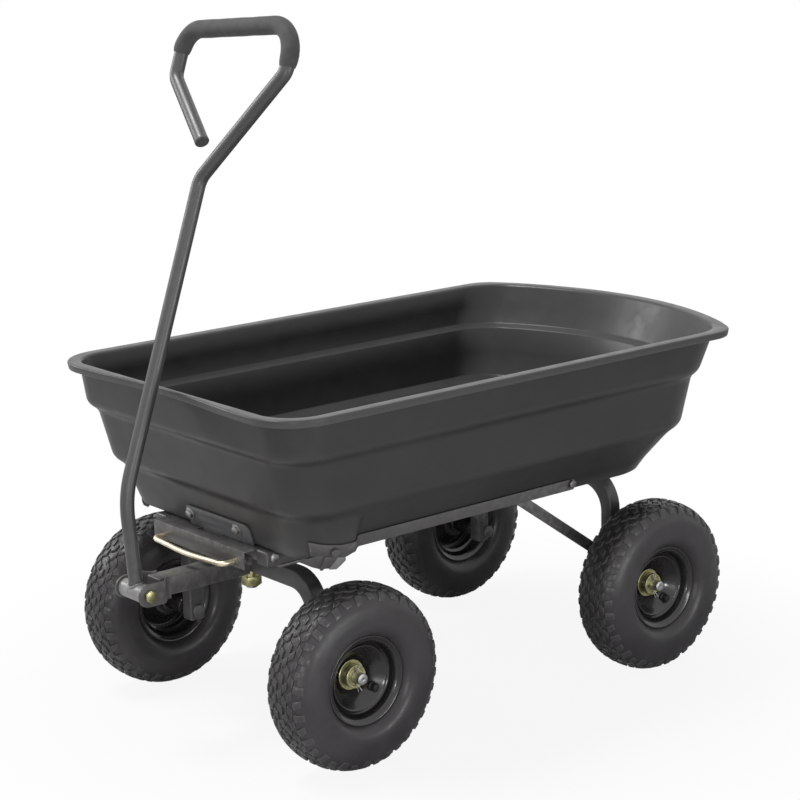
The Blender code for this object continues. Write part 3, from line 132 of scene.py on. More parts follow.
def powder_coat(name, deep, light, worn, gloss=(0.30, 0.46), grit=0.16, shine=0.5):
    """Baked powder coat: a fine pebbled skin, slightly blotchy, rubbed paler on the edges."""
    paint, shader = new_finish(name, Metallic=0.0, Specular_IOR_Level=shine)
    blotch = graded(paint, speckle(paint, 22.0, 5.0), (0.30, deep), (0.72, light))
    grain = speckle(paint, 620.0, 2.0)
    blotch = mixed(paint, graded(paint, grain, (0.35, 0.0), (0.75, 0.30)), blotch, (*light, 1))
    rub = edge_wear_and_highlight(paint, (0.53, 0.0), (0.60, 1.0))
    scuff = graded(paint, speckle(paint, 95.0, 4.0), (0.42, 0.15), (0.62, 1.0))
    rub = mixed(paint, 1.0, rub, scuff, "MULTIPLY")
    drive(
        paint, shader, Base_Color=mixed(paint, rub, blotch, (*worn, 1)),
        Roughness=graded(paint, speckle(paint, 60.0, 4.0), (0.3, gloss[0]), (0.7, gloss[1])),
        Normal=bumped(paint, grain, grit, 0.0005))
    return paint


frame_paint = powder_coat("frame_paint", (0.090, 0.086, 0.085), (0.116, 0.111, 0.109), (0.30, 0.295, 0.29))


def in_scene(name, data):
    """A new object, linked to the scene."""
    made = bpy.data.objects.new(name, data)
    bpy.context.scene.collection.objects.link(made)
    return made


def place(bm, name, finish, body, *nodes, slot=None, sharp=32):
    """Turn a finished bmesh into a piece that rides on its body and stands for the CAD nodes named."""
    mesh = bpy.data.meshes.new(name)
    bmesh.ops.recalc_face_normals(bm, faces=bm.faces)
    bm.to_mesh(mesh)
    bm.free()
    mesh.shade_smooth()
    mesh.set_sharp_from_angle(angle=math.radians(sharp))
    mesh.materials.append(finish)
    piece = in_scene(name, mesh)
    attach(piece, body)
    if nodes:
        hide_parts(*nodes)


def ease(bm, edges, size, steps=2):
    """Round the given edges to a small radius."""
    bmesh.ops.bevel(
        bm, geom=list(edges), offset=size, offset_type="OFFSET", segments=steps, profile=0.5,
        affect="EDGES", clamp_overlap=True, material=-1)


def sharp_edges(bm, degrees):
    limit = math.radians(degrees)
    return [edge for edge in bm.edges if edge.is_manifold and edge.calc_face_angle(0.0) > limit]


def block(bm, low, high, edge, steps=2):
    """A rectangular bar or plate between two corners, with eased edges."""
    low, high = Vector(low), Vector(high)
    made = bmesh.ops.create_cube(bm, size=1.0)["verts"]
    bmesh.ops.scale(bm, vec=high - low, verts=made)
    bmesh.ops.translate(bm, vec=(low + high) / 2, verts=made)
    ease(bm, {e for v in made for e in v.link_edges}, edge, steps)


def slab(bm, outline, thickness, edge, rounds=(), steps=2):
    """A flat plate cut to an outline: chosen corners rounded, then given its thickness and eased edges.

    rounds holds (corner number, radius) pairs.
    """
    corners = [bm.verts.new(point) for point in outline]
    bm.faces.new(corners)
    for radius in sorted({radius for _, radius in rounds}):
        bmesh.ops.bevel(
            bm, geom=[corners[number] for number, size in rounds if size == radius], offset=radius,
            offset_type="OFFSET", segments=10, profile=0.5, affect="VERTICES", clamp_overlap=False,
            material=-1)
    face = max((f for f in bm.faces if f.is_valid and not f.tag), key=lambda f: f.calc_area())
    made = bmesh.ops.extrude_face_region(bm, geom=[face])["geom"]
    top = [v for v in made if isinstance(v, bmesh.types.BMVert)]
    bmesh.ops.translate(bm, vec=thickness, verts=top)
    new_faces = {f for v in top for f in v.link_faces} | {face}
    rim = {e for f in new_faces for e in f.edges if e.calc_face_angle(0.0) > math.radians(50)}
    ease(bm, rim, edge, steps)
    for f in bm.faces:
        f.tag = True


KINGPIN_Y = -0.27795
AXLE_Z = 0.127
LEG_OUTER, LEG_INNER = 0.1571, 0.1356
LEG_FOOT = AXLE_Z - 0.014
TUBE = LEG_OUTER - LEG_INNER


def arch_bm(front, depth, beam_low, beam_top, bend):
    """A hoop of square tube seen from the front, with round shoulders inside and out."""
    bm = bmesh.new()
    outline = [
        (LEG_OUTER, LEG_FOOT), (LEG_OUTER, beam_top), (-LEG_OUTER, beam_top), (-LEG_OUTER, LEG_FOOT),
        (-LEG_INNER, LEG_FOOT), (-LEG_INNER, beam_low), (LEG_INNER, beam_low), (LEG_INNER, LEG_FOOT)]
    slab(
        bm, [(x, front, z) for x, z in outline], (0, depth, 0),
        0.0022, rounds=[(1, bend + TUBE), (2, bend + TUBE), (5, bend), (6, bend)], steps=3)
    return bm


PAD_X, PAD_Y = 0.030, 0.018
front_arch = arch_bm(KINGPIN_Y - 0.01175, 0.0235, 0.2225, 0.2480, 0.030)
block(front_arch, (-PAD_X, KINGPIN_Y - PAD_Y, 0.2475), (PAD_X, KINGPIN_Y + PAD_Y, 0.2615), 0.0012)
place(front_arch, "front_axle_hoop", frame_paint, "front_axle", "front_axle_arch")


# --------------------------------------------------
# Kingpin: a zinc-plated bolt through the bolster plate and the front arch, its yellow-plated nut and
# a nylon thrust washer. The CAD's own shapes, with the small radius that forging and rolling leave.

def zinc_plate(name, deep, light, cast):
    """Electroplated zinc: metal, cloudy, with fine tool marks and dull patches."""
    metal, shader = new_finish(name, Metallic=1.0)
    cloud = graded(metal, speckle(metal, 160.0, 4.0), (0.30, deep), (0.70, light))
    patch = graded(metal, speckle(metal, 48.0, 3.0), (0.45, 0.0), (0.75, 0.55))
    marks = speckle(metal, 900.0, 2.0, stretch=(1.0, 1.0, 0.12))
    return drive(
        metal, shader, Base_Color=mixed(metal, patch, cloud, (*cast, 1)),
        Roughness=graded(metal, speckle(metal, 260.0, 3.0), (0.3, 0.30), (0.75, 0.50)),
        Normal=bumped(metal, marks, 0.22, 0.0003))


bright_zinc = zinc_plate("zinc", (0.36, 0.36, 0.37), (0.55, 0.55, 0.55), (0.30, 0.29, 0.27))
dull_zinc = zinc_plate("dull_zinc", (0.16, 0.155, 0.15), (0.26, 0.255, 0.25), (0.12, 0.115, 0.11))
yellow_zinc = zinc_plate("yellow_zinc", (0.30, 0.28, 0.13), (0.50, 0.47, 0.26), (0.26, 0.27, 0.15))
# Hub washers: a lighter copy of the yellow zinc, painted light that makes up for the shade inside the
# wheel's bowl
hub_zinc_painted_light = zinc_plate("hub_zinc_painted_light", (0.39, 0.37, 0.175), (0.62, 0.59, 0.34), (0.34, 0.34, 0.18))
bail_gold = zinc_plate("bail_plate", (0.80, 0.70, 0.48), (0.98, 0.90, 0.70), (0.90, 0.66, 0.50))


def eased_copy(node, edge, sharp=28):
    """A CAD piece's own shape with its triangles merged and its edges eased."""
    bm = bmesh.new()
    bm.from_mesh(frame["nodes"][node].data)
    bmesh.ops.remove_doubles(bm, verts=bm.verts, dist=0.00002)
    bmesh.ops.dissolve_limit(bm, angle_limit=math.radians(1), verts=bm.verts, edges=bm.edges)
    ease(bm, sharp_edges(bm, sharp), edge)
    return bm


def dress(node, finish, edge, sharp=28):
    """A CAD piece shown as it is, eased and finished."""
    place(eased_copy(node, edge, sharp), node + "_finished", finish, body_of[node], node)


dress("kingpin_bolt", bright_zinc, 0.0006)
dress("kingpin_nut", yellow_zinc, 0.0008)

slip, shader = new_finish("nylon", Subsurface_Weight=0.1, Specular_IOR_Level=0.4)
drive(
    slip, shader,
    Base_Color=graded(slip, speckle(slip, 180.0), (0.3, (0.50, 0.49, 0.44)), (0.7, (0.62, 0.61, 0.56))),
    Roughness=graded(slip, speckle(slip, 500.0), (0.3, 0.45), (0.7, 0.60)),
    Normal=bumped(slip, speckle(slip, 700.0), 0.1, 0.0003))
dress("thrust_washer", slip, 0.0003)


# --------------------------------------------------
# Rear axle arch with its two struts: the same square tube, and flat bars that brace it to the rails.
# The arch carries two lugs for the tub's hinge rod.

REAR_FRONT = 0.25955
HINGE_Y, HINGE_Z = 0.30455, 0.274
LUG_X, LUG_SHEET, LUG_RADIUS = 0.085, 0.006, 0.010
rear_arch = arch_bm(REAR_FRONT, 0.020, 0.2581, 0.2826, 0.036)
for side in (-1, 1):
    left = side * LUG_X - LUG_SHEET / 2
    lug = [(left, REAR_FRONT + 0.019, HINGE_Z - 0.010), (left, REAR_FRONT + 0.019, HINGE_Z + 0.008)]
    for k in range(15):
        angle = math.radians(80 - 170 * k / 14)
        lug.append((left, HINGE_Y + LUG_RADIUS * math.cos(angle), HINGE_Z + LUG_RADIUS * math.sin(angle)))
    slab(rear_arch, lug, (LUG_SHEET, 0, 0), 0.0006)
place(rear_arch, "rear_axle_hoop", frame_paint, "chassis", "rear_axle_arch")
dress("left_strut", frame_paint, 0.0009)
dress("right_strut", frame_paint, 0.0009)
dress("hinge_rod", bright_zinc, 0.0007)


# --------------------------------------------------
# Chassis: a folded steel channel across the front, a flat bolster plate over the kingpin, and two
# rails that run back to the rear arch. The rails are bolted to the channel's ends.

dress("cross_channel", frame_paint, 0.0009)
dress("bolster_plate", frame_paint, 0.0008)
dress("left_chassis_rail", frame_paint, 0.0008, sharp=35)
dress("right_chassis_rail", frame_paint, 0.0008, sharp=35)
dress("left_channel_bolt", bright_zinc, 0.0005)
dress("right_channel_bolt", bright_zinc, 0.0005)


# --------------------------------------------------
# Drawbar: a short square tube welded to the front arch, with two sheet ears that step out from its
# sides to hold the handle's pivot bolt.

def loft(bm, rings):
    """Closed outlines bridged one after another into a skin, with the two ends closed."""
    loops = []
    for ring in rings:
        verts = [bm.verts.new(point) for point in ring]
        loops.append([bm.edges.new((a, b)) for a, b in zip(verts, verts[1:] + verts[:1])])
    for here, there in zip(loops, loops[1:]):
        bmesh.ops.bridge_loops(bm, edges=here + there)
    bmesh.ops.edgeloop_fill(bm, edges=loops[0])
    bmesh.ops.edgeloop_fill(bm, edges=loops[-1])
    return loops


def eased_step(share):
    """From 0 to 1, level at both ends."""
    return share * share * (3 - 2 * share)


PIVOT_Y, PIVOT_Z = -0.46355, 0.232
EAR_X, EAR_ROOT_X, EAR_RADIUS, EAR_SHEET = 0.0295, 0.0177, 0.0155, 0.003
jog_start, jog_end = PIVOT_Y + 0.026, PIVOT_Y + 0.036
crisp = math.radians(60)
drawbar = bmesh.new()
block(drawbar, (-0.015, jog_start, 0.2200), (0.015, KINGPIN_Y - 0.012, 0.2455), 0.0018, 3)
for side in (-1, 1):
    before = set(drawbar.verts)
    stations = [
        (EAR_X, PIVOT_Y - EAR_RADIUS * math.cos(math.radians(a)), EAR_RADIUS * math.sin(math.radians(a)))
        for a in (8, 16, 25, 35, 46, 58, 72, 90)]
    stations.append((EAR_X, jog_start - 0.0015, EAR_RADIUS))
    for k in range(1, 8):
        share = k / 8
        y = jog_start - 0.0015 + 0.0125 * share
        stations.append((EAR_X - 0.0118 * eased_step(share), y, EAR_RADIUS))
    stations += [(EAR_ROOT_X, jog_end + 0.001, EAR_RADIUS), (EAR_ROOT_X, jog_end + 0.006, EAR_RADIUS)]
    loft(drawbar, [[
        (side * x, y, PIVOT_Z - rise), (side * x, y, PIVOT_Z + rise),
        (side * (x - EAR_SHEET), y, PIVOT_Z + rise), (side * (x - EAR_SHEET), y, PIVOT_Z - rise)]
        for x, y, rise in stations])
    new = set(drawbar.verts) - before
    rim = {e for v in new for e in v.link_edges if e.is_manifold and e.calc_face_angle(0.0) > crisp}
    ease(drawbar, rim, 0.0006)
place(drawbar, "drawbar_with_ears", frame_paint, "front_axle", "tongue", sharp=40)


# --------------------------------------------------
# Wheels: pressed steel rims sprayed gloss black, pneumatic rubber tyres with an all-terrain tread,
# a welded hub tube, and a plated washer and split pin that hold each wheel on its stub axle.

def smooth_through(points, steps):
    """A smooth line through points (Catmull-Rom), to draw a turned section with."""
    points = [Vector(p) for p in points]
    padded = [points[0] * 2 - points[1]] + points + [points[-1] * 2 - points[-2]]
    line = []
    for a, b, c, d in zip(padded, padded[1:], padded[2:], padded[3:]):
        for k in range(steps):
            t = k / steps
            line.append(0.5 * (
                2 * b + (c - a) * t + (2 * a - 5 * b + 4 * c - d) * t * t
                + (3 * b - a - 3 * c + d) * t ** 3))
    return line + [points[-1]]


def mirrored(section):
    """The other half of a turned section, drawn back from its last point."""
    return [(-x, r) for x, r in section[::-1]]


def turned(bm, section, steps):
    """A section of (across, radius) points spun once round the wheel's axis."""
    verts = [bm.verts.new((x, 0, r)) for x, r in section]
    edges = [bm.edges.new((a, b)) for a, b in zip(verts, verts[1:] + verts[:1])]
    bmesh.ops.spin(
        bm, geom=verts + edges, cent=(0, 0, 0), axis=(1, 0, 0), angle=math.tau, steps=steps,
        use_merge=True, use_normal_flip=False, use_duplicate=False)


# Tyre: half its outside, from the crown to the bead
CARCASS = [
    (0.0, 0.1232), (0.0110, 0.1226), (0.0205, 0.1204), (0.0290, 0.1146), (0.0352, 0.1040),
    (0.0380, 0.0925), (0.0388, 0.0834), (0.0378, 0.0742), (0.0345, 0.0674), (0.0300, 0.0632),
    (0.0262, 0.0612)]
half_line = smooth_through(CARCASS, 4)
reach = [0.0]
for a, b in zip(half_line, half_line[1:]):
    reach.append(reach[-1] + (b - a).length)


def on_carcass(across, lift):
    """A point on the tyre's outside, measured along it from the crown, and raised by lift."""
    along = abs(across)
    k = next(i for i in range(1, len(reach)) if reach[i] >= along or i == len(reach) - 1)
    a, b = half_line[k - 1], half_line[k]
    spot = a.lerp(b, (along - reach[k - 1]) / (reach[k] - reach[k - 1]))
    way = (b - a).normalized()
    spot = spot + Vector((-way.y, way.x)) * lift
    return (spot.x if across >= 0 else -spot.x), spot.y


BLOCK_SINK, BLOCK_TAPER = 0.0015, 0.22


def tread_block(bm, turn, width, start, end, skew, height):
    """One tread block: an eased cube bent onto the carcass between two distances from the crown."""
    lug = bmesh.new()
    bmesh.ops.create_cube(lug, size=1.0)
    lengthwise = [e for e in lug.edges if abs(e.verts[0].co.x - e.verts[1].co.x) > 0.5]
    bmesh.ops.subdivide_edges(lug, edges=lengthwise, cuts=2, use_grid_fill=True)
    rim = [e for e in lug.edges if min(v.co.z for v in e.verts) > 0.4 and e.calc_face_angle(0.0) > 1.0]
    ease(lug, rim, 0.10, 1)
    for v in lug.verts:
        u, s, w = v.co.y, v.co.x + 0.5, v.co.z + 0.5
        across = start + (end - start) * s
        rise = height(abs(across)) if callable(height) else height
        x, r = on_carcass(across, -BLOCK_SINK + (rise + BLOCK_SINK) * w)
        angle = turn + u * width * (1 - BLOCK_TAPER * w) + skew * (s - 0.5)
        v.co = (x, r * math.sin(angle), r * math.cos(angle))
    merge_in(bm, lug)


def merge_in(bm, other):
    """Add a finished small shape to a larger one."""
    mesh = bpy.data.meshes.new("shape")
    other.to_mesh(mesh)
    other.free()
    bm.from_mesh(mesh)
    bpy.data.meshes.remove(mesh)


def shoulder_height(across):
    """Shoulder lugs stand tall on the tread and run out on the sidewall."""
    share = min(max((across - 0.0270) / 0.0115, 0.0), 1.0)
    return 0.0026 - 0.0020 * share * share


PITCHES = 38
tyre_form = bmesh.new()
outline = [(p.x, p.y) for p in half_line] + [(0.0254, 0.0600), (0.0254, 0.0545)]
section = outline + [(0.0150, 0.0545), (-0.0150, 0.0545)] + mirrored(outline[1:])
turned(tyre_form, section, 112)
bmesh.ops.remove_doubles(tyre_form, verts=tyre_form.verts, dist=0.00001)
for k in range(PITCHES):
    step = math.tau / PITCHES
    turn = step * k
    for side in (-1, 1):
        lag = turn + (step / 2 if side > 0 else 0.0)
        twist = 1 if k % 2 else -1
        rows = (
            (0.00, 0.62, 0.0258, 0.0372 - 0.0016 * twist, 0.02 * twist, shoulder_height),
            (0.52, 0.64, 0.0180, 0.0244, 0.040 * twist, 0.0020),
            (0.06, 0.62, 0.0102, 0.0166, -0.045 * twist, 0.0022),
            (0.55, 0.60, 0.0018, 0.0088, 0.035 * twist, 0.0024))
        for along, width, low, high, slant, rise in rows:
            tread_block(
                tyre_form, lag + step * along, step * width, side * low, side * high, side * slant, rise)

rubber, shader = new_finish("tyre_rubber", Specular_IOR_Level=0.42)
tone = graded(
    rubber, speckle(rubber, 26.0, 5.0), (0.28, (0.050, 0.046, 0.049)), (0.72, (0.068, 0.063, 0.067)))
dust = graded(rubber, speckle(rubber, 240.0, 5.0), (0.50, 0.0), (0.80, 0.25))
# Paler lug edges, picked out by their sharpness: a painted highlight
high = edge_wear_and_highlight(rubber, (0.53, 0.0), (0.60, 0.50))
tone = mixed(rubber, dust, tone, (0.085, 0.081, 0.083, 1))
tone = mixed(rubber, high, tone, (0.160, 0.155, 0.157, 1))
drive(
    rubber, shader, Base_Color=tone,
    Roughness=graded(rubber, speckle(rubber, 90.0, 4.0), (0.3, 0.28), (0.7, 0.42)),
    Normal=bumped(
        rubber, speckle(rubber, 850.0, 3.0), 0.16, 0.0004,
        bumped(rubber, speckle(rubber, 60.0), 0.10, 0.002)))

# Rim: the side that shows, from the rolled flange down the well to the pressed disc and the hub
FLANGE = [
    (0.0254, 0.0610), (0.0262, 0.0614), (0.0272, 0.0612), (0.0279, 0.0604), (0.0279, 0.0592),
    (0.0271, 0.0576), (0.0260, 0.0558), (0.0246, 0.0538), (0.0222, 0.0520), (0.0180, 0.0509),
    (0.0145, 0.0501), (0.0125, 0.0488), (0.0112, 0.0468), (0.0102, 0.0452)]
BOWL = [
    (0.0118, 0.0449), (0.0140, 0.0448), (0.0150, 0.0444), (0.0151, 0.0434), (0.0138, 0.0418),
    (0.0110, 0.0390), (0.0076, 0.0356), (0.0040, 0.0320), (-0.0002, 0.0284), (-0.0044, 0.0252),
    (-0.0074, 0.0230), (-0.0088, 0.0216), (-0.0090, 0.0200), (-0.0090, 0.0131)]
rim_form = bmesh.new()
shown = [tuple(p) for p in smooth_through(FLANGE + BOWL, 2)]
back = [
    (-0.0115, 0.0131), (-0.0115, 0.0222), (-0.0098, 0.0240), (-0.0060, 0.0266), (-0.0022, 0.0298),
    (0.0022, 0.0338), (0.0060, 0.0384), (0.0085, 0.0434)]
inboard = mirrored([tuple(p) for p in smooth_through(FLANGE, 2)])
seat_side = [
    (-0.0249, 0.0606), (-0.0244, 0.0562), (-0.0232, 0.0536), (-0.0150, 0.0524), (-0.0122, 0.0490),
    (-0.0110, 0.0476)]
section = shown + back + [(0.0080, 0.0450)] + inboard + seat_side + mirrored(seat_side)
turned(rim_form, section, 96)

gloss_black, shader = new_finish(
    "rim_paint", Specular_IOR_Level=0.5, Coat_Weight=0.35, Coat_Roughness=0.08)
tone = graded(
    gloss_black, speckle(gloss_black, 34.0, 5.0), (0.3, (0.019, 0.017, 0.018)), (0.7, (0.030, 0.027, 0.028)))
dust = graded(gloss_black, speckle(gloss_black, 420.0, 4.0), (0.62, 0.0), (0.80, 0.40))
drive(
    gloss_black, shader, Base_Color=mixed(gloss_black, dust, tone, (0.05, 0.048, 0.045, 1)),
    Roughness=graded(gloss_black, speckle(gloss_black, 70.0, 4.0), (0.3, 0.17), (0.7, 0.30)),
    Normal=bumped(gloss_black, speckle(gloss_black, 210.0, 2.0), 0.05, 0.0004))

HUB_BORE = 0.0083
hub_form = bmesh.new()
turned(hub_form, [
    (-0.0065, HUB_BORE), (-0.0065, 0.0124), (-0.0069, 0.0128), (-0.0126, 0.0128), (-0.0127, 0.0158),
    (-0.0166, 0.0158), (-0.0180, 0.0132), (-0.0550, 0.0128), (-0.0560, 0.0122), (-0.0560, 0.0110),
    (-0.0632, 0.0110), (-0.0632, HUB_BORE)], 40)

# Washer: a plated disc, then a dark collar with a plated end ring that the split pin holds. The collar's
# black is painted shade, for the shadowed gap between disc and end ring
washer_form = bmesh.new()
for near, far, rim_radius in ((-0.0062, -0.0040, 0.0205), (0.0026, 0.0065, 0.0158)):
    turned(washer_form, [
        (near, HUB_BORE), (near, rim_radius - 0.0005), (near + 0.0004, rim_radius),
        (far - 0.0005, rim_radius), (far, rim_radius - 0.0006), (far - 0.0002, 0.0124),
        (far - 0.0008, 0.0116), (far - 0.0008, HUB_BORE)], 48)
# Painted shade: a black collar where the gap between disc and end ring lies in shadow
painted_shade_collar_form = bmesh.new()
turned(painted_shade_collar_form, [(-0.0041, 0.0084), (-0.0041, 0.0138), (0.0027, 0.0138), (0.0027, 0.0084)], 40)

# Stub axle: its turned end with a chamfer, seen through the washer
axle_form = bmesh.new()
turned(axle_form, [
    (-0.0700, 0.0005), (-0.0700, 0.0079), (0.0197, 0.0079), (0.0208, 0.0072), (0.0213, 0.0062),
    (0.0211, 0.0020), (0.0207, 0.0005)], 36)
bmesh.ops.holes_fill(axle_form, edges=[e for e in axle_form.edges if e.is_boundary], sides=0)


def sweep(bm, path, radius, sides):
    """A round bar along a path: circles carried along it without twisting, then bridged."""
    path = [Vector(p) for p in path]
    ways = [(b - a).normalized() for a, b in zip(path, path[1:])]
    side = ways[0].orthogonal().normalized()
    loops = []
    last = ways[0]
    headings = [ways[0]] + [(a + b).normalized() for a, b in zip(ways, ways[1:])] + [ways[-1]]
    for k, (point, way) in enumerate(zip(path, headings)):
        side = last.rotation_difference(way) @ side
        side = (side - way * side.dot(way)).normalized()
        last = way
        at = Matrix((side, way.cross(side), way)).transposed().to_4x4()
        at.translation = point
        size = radius(k) if callable(radius) else radius
        made = bmesh.ops.create_circle(bm, segments=sides, radius=size, matrix=at)["verts"]
        loops.append(list({e for v in made for e in v.link_edges}))
    for here, there in zip(loops, loops[1:]):
        bmesh.ops.bridge_loops(bm, edges=here + there)
    bmesh.ops.edgeloop_fill(bm, edges=loops[0])
    bmesh.ops.edgeloop_fill(bm, edges=loops[-1])


def bent(corners, bends, steps):
    """Straight runs between corners, each inner corner turned at its bend radius."""
    corners = [Vector(corner) for corner in corners]
    path = [corners[0]]
    for before, corner, after, bend in zip(corners, corners[1:], corners[2:], bends):
        back = (before - corner).normalized()
        ahead = (after - corner).normalized()
        half = back.angle(ahead) / 2
        centre = corner + (back + ahead).normalized() * bend / math.sin(half)
        start = corner + back * bend / math.tan(half)
        normal = (start - centre).cross(corner + ahead * bend / math.tan(half) - centre).normalized()
        for k in range(steps + 1):
            swing = Matrix.Rotation((math.pi - 2 * half) * k / steps, 3, normal)
            path.append(centre + swing @ (start - centre))
    path.append(corners[-1])
    return path


valve_rubber, shader = new_finish("valve_rubber", Specular_IOR_Level=0.45)
tone = graded(
    valve_rubber, speckle(valve_rubber, 300.0), (0.3, (0.010, 0.010, 0.010)), (0.7, (0.020, 0.019, 0.019)))
drive(
    valve_rubber, shader, Base_Color=tone,
    Roughness=graded(valve_rubber, speckle(valve_rubber, 500.0), (0.3, 0.35), (0.7, 0.55)),
    Normal=bumped(valve_rubber, speckle(valve_rubber, 900.0), 0.15, 0.0003))

WHEEL_X, REAR_AXLE_Y = 0.2206, 0.27705
AXLE_HEAD_X = 0.1333
PIN_X, PIN_WIRE = 0.0081, 0.00065
VALVE_RADIUS = 0.0340
VALVE_SIZES = (
    (0, 0.0072), (0.0028, 0.0070), (0.0042, 0.0056), (0.0058, 0.0050), (0.0060, 0.0054), (0.0100, 0.0052),
    (0.0108, 0.0046), (0.0110, 0.0030))
# Each wheel's name, side, axle, the body that carries it and the valve's turn in degrees
WHEELS = (
    ("front_right", 1, KINGPIN_Y, "front_axle", -37), ("front_left", -1, KINGPIN_Y, "front_axle", 160),
    ("rear_right", 1, REAR_AXLE_Y, "chassis", -48), ("rear_left", -1, REAR_AXLE_Y, "chassis", 70))


def seated(form, seat, spin=0.0):
    """A copy of a wheel's piece, turned by spin and put on its axle."""
    copy = form.copy()
    bmesh.ops.transform(copy, matrix=seat @ Matrix.Rotation(spin, 4, "X"), verts=copy.verts)
    return copy


for tag, side, axle_y, carrier, valve_turn in WHEELS:
    facing = Matrix.Rotation(0 if side > 0 else math.pi, 4, "Z")
    seat = Matrix.Translation((side * WHEEL_X, axle_y, AXLE_Z)) @ facing
    wheel = "wheel_" + tag
    # Front and rear tyres come to rest at different turns
    tyre = seated(tyre_form, seat, math.radians(3 * axle_y * 10))
    place(tyre, wheel + "_tyre", rubber, wheel, "tyre_" + tag, sharp=40)
    place(seated(rim_form, seat), wheel + "_rim", gloss_black, wheel, "rim_" + tag, sharp=50)
    place(seated(hub_form, seat), wheel + "_hub", gloss_black, wheel, "hub_" + tag)
    # The washers' lighter zinc is painted light against the bowl's shade
    place(seated(washer_form, seat), tag + "_hub_washer", hub_zinc_painted_light, carrier, "hub_washer_" + tag, sharp=25)
    # The black collar is painted shade in the washer's gap
    place(seated(painted_shade_collar_form, seat), tag + "_hub_collar_painted_shade", gloss_black, carrier, slot="rim_paint", sharp=25)
    place(seated(axle_form, seat), tag + "_stub_axle", bright_zinc, carrier, "axle_" + tag)
    head = bmesh.new()
    bmesh.ops.create_cone(
        head, cap_ends=True, segments=6, radius1=0.0100, radius2=0.0100, depth=0.004,
        matrix=Matrix.Translation((side * AXLE_HEAD_X, axle_y, AXLE_Z))
        @ Matrix.Rotation(math.pi / 2, 4, "Y"))
    ease(head, head.edges, 0.0008)
    place(head, tag + "_stub_axle_head", frame_paint, carrier, slot="frame_paint")
    pin = bmesh.new()
    for leg in (-1, 1):
        sweep(pin, [seat @ Vector(p) for p in bent(
            [(PIN_X, 0.0007 * leg, 0.0112), (PIN_X, 0.0007 * leg, -0.0105),
             (0.0136, 0.0030 * leg, -0.0180)], [0.0026], 6)], PIN_WIRE, 10)
    eye = [
        (PIN_X, 0.0026 * math.sin(a) * 0.9, 0.0136 - 0.0030 * math.cos(a))
        for a in (math.radians(20 + 320 * k / 14) for k in range(15))]
    sweep(pin, [seat @ Vector(p) for p in eye], PIN_WIRE, 10)
    place(pin, tag + "_split_pin", bright_zinc, carrier, "cotter_pin_" + tag, sharp=50)
    # The valve: a moulded rubber stem through the disc, with a small cap
    lean = math.radians(valve_turn)
    stem = bmesh.new()
    root = Vector((0.0030, VALVE_RADIUS * math.cos(lean), VALVE_RADIUS * math.sin(lean)))
    sweep(
        stem, [seat @ (root + Vector((along, 0, 0))) for along, _ in VALVE_SIZES],
        lambda k: VALVE_SIZES[k][1], 20)
    place(stem, wheel + "_valve_stem", valve_rubber, wheel, slot="tyre_rubber", sharp=35)


# --------------------------------------------------
# Tub: one moulded polyethylene shell, charcoal with a satin skin. Two stepped ledges stiffen its
# sides, its foot stands wider at the front corners, and the rim turns out and down to a lip.

TUB_BOTTOM = 0.2881
WALL = 0.004
FOOT_CORNER, REAR_CORNER = 0.055, 0.080
FRONT_REACH = 0.058
FLARE_Y = KINGPIN_Y - FRONT_REACH + 0.0785
LOW_BAND, LOW_LEDGE = 0.0195, 0.0585
LOW_LEDGE_IN = (0.2262, 0.0762, 0.6660)


def tub_ring(height, half, foot_half, front, rear, corner, rear_corner, bow, dish=0.0):
    """One level of the tub's outline, front middle first, then round by the right side."""
    z = TUB_BOTTOM + height
    y_front = KINGPIN_Y - front
    y_rear = KINGPIN_Y + rear
    points = []
    for k in range(10):
        x = (foot_half - corner) * k / 10
        points.append((x, y_front + dish * (1 + math.cos(math.pi * k / 10)) / 2, z))
    for k in range(17):
        angle = -math.pi / 2 + math.pi / 2 * k / 16
        x = foot_half - corner + corner * math.cos(angle)
        points.append((x, y_front + corner + corner * math.sin(angle), z))
    for k in range(9):
        share = k / 8
        x = foot_half + (half - foot_half) * eased_step(share)
        points.append((x, FLARE_Y + 0.024 * (share - 0.5), z))
    turn = math.pi / 2 - math.atan(2 * bow * half * 0.85)
    reach_back = rear_corner * math.tan(turn / 2)
    centre_x, centre_y = half - rear_corner, y_rear - bow * half * half - reach_back
    last_y = points[-1][1]
    for k in range(1, 8):
        points.append((half, last_y + (centre_y - last_y) * k / 8, z))
    for k in range(17):
        angle = turn * k / 16
        x = centre_x + rear_corner * math.cos(angle)
        points.append((x, centre_y + rear_corner * math.sin(angle), z))
    last_x = points[-1][0]
    for k in range(1, 13):
        x = last_x * (1 - k / 12)
        points.append((x, y_rear - bow * x * x, z))
    return points + [(-x, y, z) for x, y, z in points[-2:0:-1]]


def lower_wall(height):
    """Half width, foot half width, front and rear below the low ledge."""
    share = height / LOW_LEDGE
    if height < LOW_BAND:
        half = 0.1885 + 0.0085 * height / LOW_BAND
    else:
        half = 0.1970 + 0.0292 * (height - LOW_BAND) / 0.0390
    return half, 0.2130 + 0.0132 * share, FRONT_REACH + 0.0182 * share, 0.6235 + 0.0425 * share


def wall_ring(height, half, front, rear, inset=0.0, bow=1.20, foot=None):
    foot = foot or half
    return tub_ring(
        height, half - inset, foot - inset, front - inset, rear - inset, FOOT_CORNER - inset,
        REAR_CORNER - inset, bow)


def low_ring(height, inset=0.0, lift=0.0):
    half, foot, front, rear = lower_wall(height)
    return wall_ring(height + lift, half, front, rear, inset, foot=foot)


def lip_ring(height, inset=0.0):
    return tub_ring(
        height, 0.2727 - inset, 0.2727 - inset, 0.1395 - inset, 0.7570 - inset, 0.070 - inset,
        0.055 - inset, 1.15, 0.0115)


def mouth_ring(height, inset=0.0):
    return wall_ring(height, 0.2567, 0.1235, 0.7410, inset, 1.15)


def between(low, high, share):
    return [tuple(a + (b - a) * share for a, b in zip(p, q)) for p, q in zip(low, high)]


